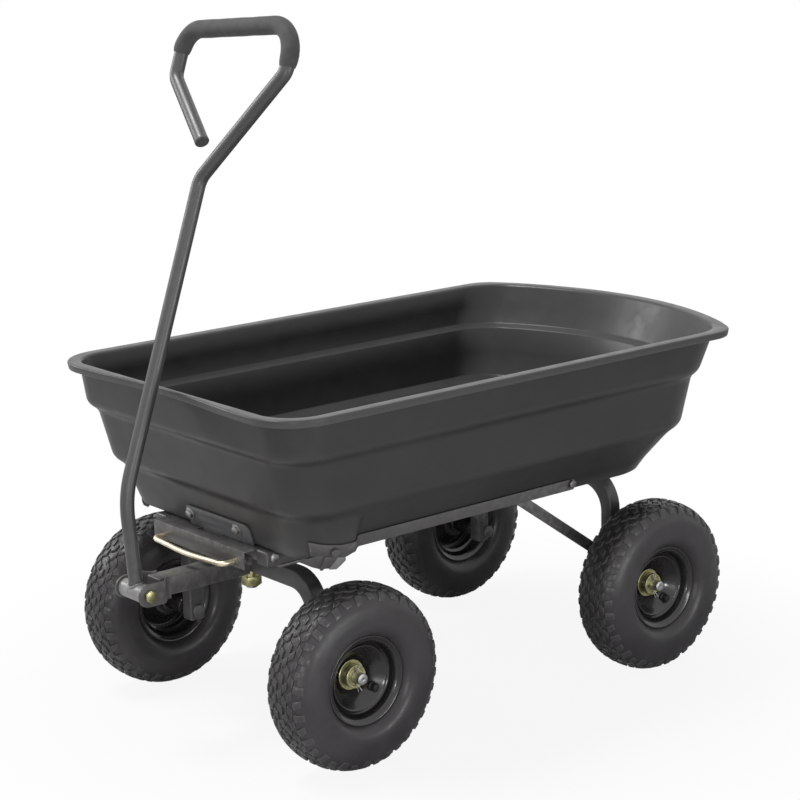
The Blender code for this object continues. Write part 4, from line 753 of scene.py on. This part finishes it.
low_out = (0.2347, 0.0898, 0.6864)
high_in = (0.2425, 0.1058, 0.7090)
high_out = tuple(size + 0.0105 for size in high_in)
outer = [
    low_ring(0.0, 0.0060), low_ring(0.0008, 0.0032), low_ring(0.0030, 0.0004), low_ring(LOW_BAND),
    wall_ring(LOW_LEDGE, *LOW_LEDGE_IN), wall_ring(0.0705, *low_out)]
upper = wall_ring(0.1400, *high_in, bow=1.32)
outer += [between(outer[-1], upper, 0.5), upper, wall_ring(0.1490, *high_out, bow=1.32)]
under_lip = mouth_ring(0.2049)
outer += [between(outer[-1], under_lip, 0.5), under_lip]
lip = [
    lip_ring(0.2048, 0.0036), lip_ring(0.1984, 0.0036), lip_ring(0.1980, 0.0026), lip_ring(0.1986, 0.0016)]
lip += [lip_ring(0.2061 + 0.0024 * math.sin(a), 0.0024 * (1 - math.cos(a))) for a in (
    math.radians(d) for d in (0, 20, 40, 60, 78, 90))]
lip += [
    mouth_ring(0.2084, -0.0010), mouth_ring(0.2080, 0.0012), mouth_ring(0.2070, 0.0028),
    mouth_ring(0.2045, WALL)]
inner_high = wall_ring(0.1502, *high_out, inset=WALL, bow=1.32)
inner_low = wall_ring(0.1446, *high_in, inset=WALL, bow=1.32)
inner = [between(lip[-1], inner_high, 0.5), inner_high, inner_low]
inner_step = wall_ring(0.0705, *low_out, inset=WALL)
inner += [
    between(inner_low, inner_step, 0.5), inner_step, wall_ring(0.0640, *LOW_LEDGE_IN, WALL),
    low_ring(LOW_BAND, WALL, 0.003), low_ring(0.0110, WALL), low_ring(0.0072, WALL + 0.0016),
    low_ring(0.0055, WALL + 0.0045), low_ring(0.0050, WALL + 0.0100)]
tub = bmesh.new()
loops = loft(tub, outer + lip + inner)
# The outer ledges' edges are moulded round, and the inner ones crisper
ledges = [4, 5, 7, 8]
first_inner = len(outer) + len(lip)
inner_ledges = [first_inner + k for k in (1, 2, 4, 5)]
ease(tub, {e for k in ledges for e in loops[k]}, 0.0062, 6)
ease(tub, {e for k in inner_ledges for e in loops[k] if e.is_valid}, 0.0012, 2)

plastic, shader = new_finish("tub_plastic", Specular_IOR_Level=0.42)
tone = graded(
    plastic, speckle(plastic, 7.0, 5.0), (0.30, (0.043, 0.041, 0.0415)), (0.72, (0.054, 0.0515, 0.052)))
haze = graded(plastic, speckle(plastic, 130.0, 6.0, 0.7), (0.45, 0.0), (0.85, 0.25))
# Paler convex edges along the ledges and the lip: a painted highlight
edge = edge_wear_and_highlight(plastic, (0.505, 0.0), (0.56, 0.5))
tone = mixed(plastic, haze, tone, (0.068, 0.066, 0.066, 1))
tone = mixed(plastic, edge, tone, (0.16, 0.157, 0.157, 1))
pebble = speckle(plastic, 780.0, 3.0)
wave = speckle(plastic, 16.0, 2.0)
drive(
    plastic, shader, Base_Color=tone,
    Roughness=graded(plastic, speckle(plastic, 38.0, 5.0), (0.3, 0.28), (0.7, 0.40)),
    Normal=bumped(plastic, pebble, 0.12, 0.0004, bumped(plastic, wave, 0.12, 0.006)))
place(tub, "moulded_tub", plastic, "tub", "tub", sharp=38)


# --------------------------------------------------
# Tub irons: a bent steel angle under each side that wraps round the tub's front corner, a keeper
# plate on its front wall, and a hinge plate behind. Hex bolts with washers go through the wall.

# Each outline round the corner: angle in degrees, lower and upper line
GUARD = (
    (-47, 0.0072, 0.0285), (-36, 0.0068, 0.0258), (-24, 0.0052, 0.0230), (-10, 0.0020, 0.0208),
    (0, 0.0005, 0.0195))
APRON = (
    (-66, -0.0030, 0.0004), (-56, -0.0064, 0.0010), (-48, -0.0100, 0.0040), (-38, -0.0128, 0.0080),
    (-24, -0.0128, 0.0065), (-12, -0.0100, 0.0040))
TAB = (
    (-38, -0.0142, -0.0122), (-35, -0.0146, -0.0079), (-28.5, -0.0088, 0.0062), (-22, -0.0025, 0.0050),
    (-16, 0.0033, 0.0037))
GUSSET = ((-26, -0.0142, -0.0132), (-16, -0.0150, -0.0029), (-12, -0.0124, 0.0024), (0, -0.0040, 0.0020))
IRON_GAP, IRON_SHEET = 0.0006, 0.0020
IRON_X, IRON_END_Y = 0.1979, 0.14255
IRON_LOW, IRON_HIGH = 0.004, 0.0195


def corner_point(angle, height, out):
    _, foot, front, _ = lower_wall(height)
    return Vector((
        foot - FOOT_CORNER + (FOOT_CORNER + out) * math.cos(angle),
        KINGPIN_Y - front + FOOT_CORNER + (FOOT_CORNER + out) * math.sin(angle), TUB_BOTTOM + height))


def wrapped(outline, near, sheet):
    """Sections of a sheet bent round the tub's corner, from its lower and upper line at some angles."""
    sections = []
    for (a, low_a, high_a), (b, low_b, high_b) in zip(outline, outline[1:]):
        steps = max(1, round((b - a) / 3))
        for k in range(steps + (b == outline[-1][0])):
            share = k / steps
            angle = math.radians(a + (b - a) * share)
            bottom, ceiling = low_a + (low_b - low_a) * share, high_a + (high_b - high_a) * share
            sections.append([
                corner_point(angle, bottom, near), corner_point(angle, bottom, near + sheet),
                corner_point(angle, ceiling, near + sheet), corner_point(angle, ceiling, near)])
    return sections


def upright(y, x_low, x_high):
    """A section of the iron's upstanding leg, where it runs along the tub."""
    low, high = TUB_BOTTOM + IRON_LOW, TUB_BOTTOM + IRON_HIGH
    return [
        Vector((x_low, y, low)), Vector((x_low + IRON_SHEET, y, low)),
        Vector((x_high + IRON_SHEET, y, high)), Vector((x_high, y, high))]


def sheet_form(sections, side, edge):
    """A bent sheet through the right side's sections, on either side of the cart, with eased edges."""
    form = bmesh.new()
    loft(form, [[(side * p.x, p.y, p.z) for p in section] for section in sections])
    bmesh.ops.recalc_face_normals(form, faces=form.faces)
    ease(form, sharp_edges(form, 60), edge)
    return form


bare_steel = powder_coat(
    "sleeve_paint", (0.24, 0.237, 0.235), (0.32, 0.315, 0.31), (0.45, 0.445, 0.44), (0.26, 0.40))
for side, tag in ((-1, "left"), (1, "right")):
    sections = wrapped(GUARD, IRON_GAP, IRON_SHEET)
    for k in range(9):
        share = k / 8
        x_low = lower_wall(IRON_LOW)[1] + IRON_GAP
        x_high = lower_wall(IRON_HIGH)[1] + IRON_GAP
        x_low += (IRON_X - x_low) * eased_step(share)
        x_high += (IRON_X - x_high) * eased_step(share)
        sections.append(upright(FLARE_Y - 0.012 + 0.025 * share, x_low, x_high))
    sections += [upright(y, IRON_X, IRON_X) for y in (-0.15, -0.05, 0.05, IRON_END_Y)]
    iron = sheet_form(sections, side, 0.0005)
    flange = sorted((side * 0.1919, side * 0.1989))
    block(
        iron, (flange[0], FLARE_Y + 0.024, TUB_BOTTOM + IRON_LOW),
        (flange[1], IRON_END_Y, TUB_BOTTOM + IRON_LOW + IRON_SHEET), 0.0004)
    for outline, out, thick in ((APRON, IRON_GAP, 0.0010), (TAB, IRON_GAP + 0.0016, 0.0018)):
        merge_in(iron, sheet_form(wrapped(outline, out, thick), side, 0.0003))
    place(iron, tag + "_tub_iron", frame_paint, "tub", tag + "_tub_rail", sharp=35)
    gusset = sheet_form(wrapped(GUSSET, IRON_GAP + 0.0002, 0.0014), side, 0.0003)
    place(gusset, tag + "_iron_gusset", bare_steel, "tub", slot="frame_paint", sharp=35)
    dress(tag + "_rail_front_bolt", frame_paint, 0.0008)
    dress(tag + "_rail_rear_bolt", dull_zinc, 0.0008)

# The keeper plate's upper corners are cut round before its edges are eased
keeper = eased_copy("keeper_plate", 0.0, 180)
top = max(v.co.z for v in keeper.verts)
far = max(v.co.x for v in keeper.verts)
near_x = min(v.co.x for v in keeper.verts)
corners = [
    e for e in keeper.edges
    if all(v.co.z > top - 0.004 for v in e.verts) and abs(e.verts[0].co.x - e.verts[1].co.x) < 0.0001
    and (e.verts[0].co.x > far - 0.0005 or e.verts[0].co.x < near_x + 0.0005) and e.calc_length() < 0.006]
ease(keeper, corners, 0.0065, 8)
ease(keeper, sharp_edges(keeper, 40), 0.0006)
keeper_paint = powder_coat(
    "keeper_paint", (0.135, 0.137, 0.142), (0.170, 0.173, 0.180), (0.34, 0.34, 0.345))
place(keeper, "keeper_with_hook", keeper_paint, "tub", "keeper_plate", sharp=35)


def washer_ring(bm, seat, outward, radius, bore, thickness):
    """A punched washer lying on a seat, with eased rims."""
    turn = Vector((0, 0, 1)).rotation_difference(Vector(outward).normalized()).to_matrix().to_4x4()
    at = Matrix.Translation(Vector(seat)) @ turn
    before = set(bm.verts)
    outer = bmesh.ops.create_circle(bm, segments=40, radius=radius, matrix=at)["verts"]
    inner = bmesh.ops.create_circle(bm, segments=40, radius=bore, matrix=at)["verts"]
    rims = {e for v in outer + inner for e in v.link_edges}
    face = bmesh.ops.bridge_loops(bm, edges=list(rims))["faces"]
    made = bmesh.ops.extrude_face_region(bm, geom=face)["geom"]
    lift = Vector(outward).normalized() * thickness
    bmesh.ops.translate(bm, vec=lift, verts=[v for v in made if isinstance(v, bmesh.types.BMVert)])
    new = set(bm.verts) - before
    crisp = {e for v in new for e in v.link_edges if e.calc_face_angle(0.0) > 1.0}
    ease(bm, crisp, thickness * 0.25, 2)


ring = bmesh.new()
for x in (-0.043, 0.065):
    washer_ring(ring, (x, -0.34470, 0.30540), (0, -0.95484, -0.29706), 0.0090, 0.0032, 0.0011)
place(ring, "keeper_washers", bright_zinc, "tub", slot="zinc")
dress("left_keeper_bolt", bright_zinc, 0.0005)
dress("right_keeper_bolt", bright_zinc, 0.0005)
dress("tub_hinge_plate", frame_paint, 0.0006)


# --------------------------------------------------
# Release: a bright-plated wire bail in front of the cart, that draws a latch bar forward against two
# coil springs. The bar holds the hook of the tub's keeper plate.

BAIL_X, BAIL_Z = 0.081, 0.2695
LEG_END_Y, REACH_Y = -0.3525, -0.38095
bail = bmesh.new()
sweep(bail, bent([
    (BAIL_X, LEG_END_Y, BAIL_Z), (BAIL_X, REACH_Y, BAIL_Z), (0, REACH_Y - 0.003, 0.2662),
    (-BAIL_X, REACH_Y, BAIL_Z), (-BAIL_X, LEG_END_Y, BAIL_Z)], [0.008, 0.5, 0.008], 14), 0.0037, 20)
place(bail, "wire_bail", bail_gold, "release", "release_bail", sharp=50)
dress("latch_bar", frame_paint, 0.0006)

spring_wire = zinc_plate("spring_steel", (0.30, 0.30, 0.31), (0.45, 0.45, 0.46), (0.22, 0.21, 0.20))
for side, tag in ((-1, "left"), (1, "right")):
    low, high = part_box(tag + "_latch_spring")
    coil = bmesh.new()
    turns, first, last = 5, low.y + 0.0006, high.y - 0.0006
    sweep(coil, [(
        side * BAIL_X + 0.005 * math.cos(math.tau * k / 20), first + (last - first) * k / (turns * 20),
        BAIL_Z + 0.005 * math.sin(math.tau * k / 20)) for k in range(turns * 20 + 1)], 0.0006, 8)
    place(coil, tag + "_coil_spring", spring_wire, "release", tag + "_latch_spring", sharp=60)


# --------------------------------------------------
# Handle: one steel tube from the pivot up a leaning stem and round a D-shaped loop to a plugged free
# end, welded to a pivot sleeve below. A foam grip is pushed on over the top and both its corners.

pivot = Vector((0, PIVOT_Y, PIVOT_Z))
lower_lean, upper_lean = math.radians(4.5), math.radians(19.06)
KNEE_HEIGHT, STEM_LENGTH, TUBE_RADIUS = 0.1316, 0.4428, 0.0095
knee = pivot + Vector((0, -math.tan(lower_lean), 1)) * KNEE_HEIGHT
up_stem = Vector((0, math.sin(upper_lean), math.cos(upper_lean)))
stem_top = knee + up_stem * STEM_LENGTH


def on_loop(x, along):
    """A point in the loop's plane, from the stem's top: across, and on along the stem."""
    return stem_top + Vector((x, 0, 0)) + up_stem * along


tube_path = bent(
    [pivot, knee, on_loop(0, -0.0185), on_loop(0.1285, 0.1300), on_loop(0.1285, 0.1925),
     on_loop(-0.1085, 0.1750), on_loop(-0.1085, 0.1110), on_loop(-0.0145, 0.0295)],
    [0.150, 0.030, 0.020, 0.042, 0.034, 0.020], 12)
tube = bmesh.new()
sweep(tube, tube_path, TUBE_RADIUS, 32)
tube_paint = powder_coat(
    "handle_paint", (0.064, 0.063, 0.064), (0.084, 0.082, 0.082), (0.15, 0.148, 0.146), (0.34, 0.44),
    0.0, 0.85)
place(tube, "handle_tube_bent", tube_paint, "handle", "handle_tube", sharp=50)

# The free end's plastic plug
free_end = tube_path[-1]
way = (free_end - tube_path[-2]).normalized()
plug = bmesh.new()
plug_sizes = (
    (-0.0022, 0.0094), (-0.0020, 0.0098), (-0.0004, 0.0098), (0.0004, 0.0094), (0.0009, 0.0082),
    (0.0011, 0.0056))
sweep(plug, [free_end + way * along for along, _ in plug_sizes], lambda k: plug_sizes[k][1], 28)
grey_cap = powder_coat(
    "end_plug", (0.095, 0.095, 0.098), (0.130, 0.130, 0.134), (0.20, 0.20, 0.20), (0.40, 0.55), 0.05)
place(plug, "handle_end_plug", grey_cap, "handle", slot="grip_foam", sharp=50)

# Grip: from the top of the right shoulder bend, over the loop, to the foot of the left corner bend
grip_line = tube_path[39:66]
dense = [grip_line[0]]
for a, b in zip(grip_line, grip_line[1:]):
    count = max(1, round((b - a).length / 0.004))
    dense += [a.lerp(b, k / count) for k in range(1, count + 1)]
last_grip = len(dense) - 1
GRIP_RADIUS = 0.01205


def grip_radius(k):
    """The foam's ends are cut and rounded, and its hand side swells and sinks a little."""
    end = min(k, last_grip - k)
    rounding = (0.0016, 0.0006, 0.0001)[end] if end < 3 else 0.0
    return GRIP_RADIUS - rounding + 0.0002 * math.sin(k * 0.55) * math.sin(k * 0.17)


grip = bmesh.new()
sweep(grip, dense, grip_radius, 32)
foam, shader = new_finish("grip_foam", Specular_IOR_Level=0.40, Sheen_Weight=0.12, Sheen_Roughness=0.5)
cells = add_node(foam, "ShaderNodeTexVoronoi", {
    "Vector": add_node(foam, "ShaderNodeTexCoord").outputs["Object"], "Scale": 620.0}).outputs["Distance"]
tone = graded(foam, speckle(foam, 60.0, 5.0), (0.30, (0.072, 0.071, 0.072)), (0.72, (0.105, 0.104, 0.104)))
tone = mixed(foam, graded(foam, cells, (0.05, 0.45), (0.35, 0.0)), tone, (0.040, 0.040, 0.041, 1))
drive(
    foam, shader, Base_Color=tone,
    Roughness=graded(foam, speckle(foam, 300.0), (0.3, 0.62), (0.7, 0.82)),
    Normal=bumped(foam, cells, 0.35, 0.0005, bumped(foam, speckle(foam, 90.0), 0.15, 0.001)))
place(grip, "foam_grip", foam, "handle", "handle_grip", sharp=50)

# Pivot: the sleeve across the tube's foot, its bolt and its nut
SLEEVE_RADIUS, BEAD_RADIUS = 0.0125, 0.0102
sleeve = bmesh.new()
turned(sleeve, [
    (-0.0258, 0.0055), (-0.0258, 0.0119), (-0.0252, SLEEVE_RADIUS), (0.0252, SLEEVE_RADIUS),
    (0.0258, 0.0119), (0.0258, 0.0055)], 40)
bmesh.ops.translate(sleeve, vec=pivot, verts=sleeve.verts)
# A bead of weld runs round the tube where it meets the sleeve
bead = [pivot + Vector((
    BEAD_RADIUS * math.cos(a), BEAD_RADIUS * math.sin(a) - 0.0008,
    math.sqrt(max(SLEEVE_RADIUS ** 2 - (BEAD_RADIUS * math.sin(a)) ** 2, 0)) + 0.0003)) for a in (
        math.tau * k / 36 for k in range(37))]
sweep(sleeve, bead, lambda k: 0.0014 + 0.0003 * math.sin(k * 2.1), 10)
place(sleeve, "pivot_sleeve_welded", bare_steel, "handle", "pivot_sleeve", sharp=40)
dress("pivot_bolt", yellow_zinc, 0.0005)
dress("pivot_nut", yellow_zinc, 0.0005)


# --------------------------------------------------
# Studio: a flat sheet of pale paper that fades to white away from the cart, a white surround, four
# soft lamps, and the camera where the photo's stood.

world = bpy.data.worlds.new("studio")
bpy.context.scene.world = world
world.use_nodes = True
world.node_tree.nodes.clear()
# What the camera, a mirror or glass sees is white, and the light that reaches the cart is dimmer
rays = add_node(world, "ShaderNodeLightPath").outputs
seen = add_node(world, "ShaderNodeMath", {
    0: rays["Is Camera Ray"], 1: rays["Is Glossy Ray"]}, operation="ADD", use_clamp=True)
clear = add_node(world, "ShaderNodeMath", {
    0: seen.outputs[0], 1: rays["Is Transmission Ray"]}, operation="ADD", use_clamp=True)
room = add_node(world, "ShaderNodeBackground", {"Color": (0.96, 0.98, 1.0, 1), "Strength": 0.16})
white = add_node(world, "ShaderNodeBackground", {"Color": (1, 1, 1, 1), "Strength": 1.0})
choose = add_node(world, "ShaderNodeMixShader", {
    0: clear.outputs[0], 1: room.outputs[0], 2: white.outputs[0]})
add_node(world, "ShaderNodeOutputWorld", {"Surface": choose.outputs[0]})

ground = bmesh.new()
bmesh.ops.create_grid(ground, x_segments=1, y_segments=1, size=30)
ground_mesh = bpy.data.meshes.new("floor")
ground.to_mesh(ground_mesh)
ground.free()
floor = in_scene("floor", ground_mesh)
paper = bpy.data.materials.new("floor_paper")
paper.use_nodes = True
ground_mesh.materials.append(paper)
paper.node_tree.nodes.clear()
matt = add_node(paper, "ShaderNodeBsdfDiffuse", {"Color": (0.88, 0.88, 0.88, 1)})
glow = add_node(paper, "ShaderNodeEmission", {"Color": (1, 1, 1, 1), "Strength": 1.0})
spread = add_node(paper, "ShaderNodeVectorMath", {
    0: add_node(paper, "ShaderNodeTexCoord").outputs["Object"]}, operation="LENGTH").outputs["Value"]
fade = add_node(paper, "ShaderNodeMapRange", {
    "Value": spread, "From Min": 0.30, "From Max": 0.9, "To Min": 0.90, "To Max": 1.0},
    interpolation_type="SMOOTHSTEP").outputs["Result"]
to_camera = add_node(paper, "ShaderNodeLightPath").outputs["Is Camera Ray"]
camera_only = add_node(paper, "ShaderNodeMath", {0: fade, 1: to_camera}, operation="MULTIPLY").outputs[0]
sheet_mix = add_node(paper, "ShaderNodeMixShader", {
    0: camera_only, 1: matt.outputs[0], 2: glow.outputs[0]})
add_node(paper, "ShaderNodeOutputMaterial", {"Surface": sheet_mix.outputs[0]})


def lamp(name, at, aim, size, watts):
    data = bpy.data.lights.new(name, "AREA")
    data.shape = "RECTANGLE"
    data.size, data.size_y = size
    data.energy = watts
    piece = in_scene(name, data)
    piece.location = at
    piece.visible_camera = False
    piece.rotation_euler = (Vector(aim) - Vector(at)).to_track_quat("-Z", "Y").to_euler()


lamp("key_left", (-3.2, -1.7, 1.9), (0, 0.1, 0.35), (1.3, 1.0), 26)
lamp("high_front", (-0.8, -1.5, 4.0), (0, -0.05, 0.3), (1.2, 1.0), 84)
lamp("low_right", (3.2, 0.35, 0.34), (0, 0.0, 0.2), (1.5, 0.4), 18)
lamp("beside_camera", (2.15, -1.85, 0.42), (0, -0.1, 0.25), (0.35, 0.30), 9)

azimuth, elevation, roll = math.radians(50.554), math.radians(13.585), math.radians(-1.2493)
back = Vector((
    math.sin(azimuth) * math.cos(elevation), -math.cos(azimuth) * math.cos(elevation), math.sin(elevation)))
right = (-back).cross(Vector((0, 0, 1))).normalized()
up = right.cross(-back)
tilted_right = right * math.cos(roll) + up * math.sin(roll)
tilted_up = up * math.cos(roll) - right * math.sin(roll)
camera_data = bpy.data.cameras.new("photo_camera")
camera_data.lens = 99.1
camera_data.sensor_width = 36
camera = in_scene("photo_camera", camera_data)
view = Matrix((tilted_right, tilted_up, back)).transposed().to_4x4()
aim, distance = Vector((0, -0.00745, 0.4133)), 3.143
view.translation = aim + back * distance
camera.matrix_world = view
bpy.context.scene.camera = camera
bpy.context.scene.view_settings.view_transform = "Standard"

bpy.context.view_layer.update()
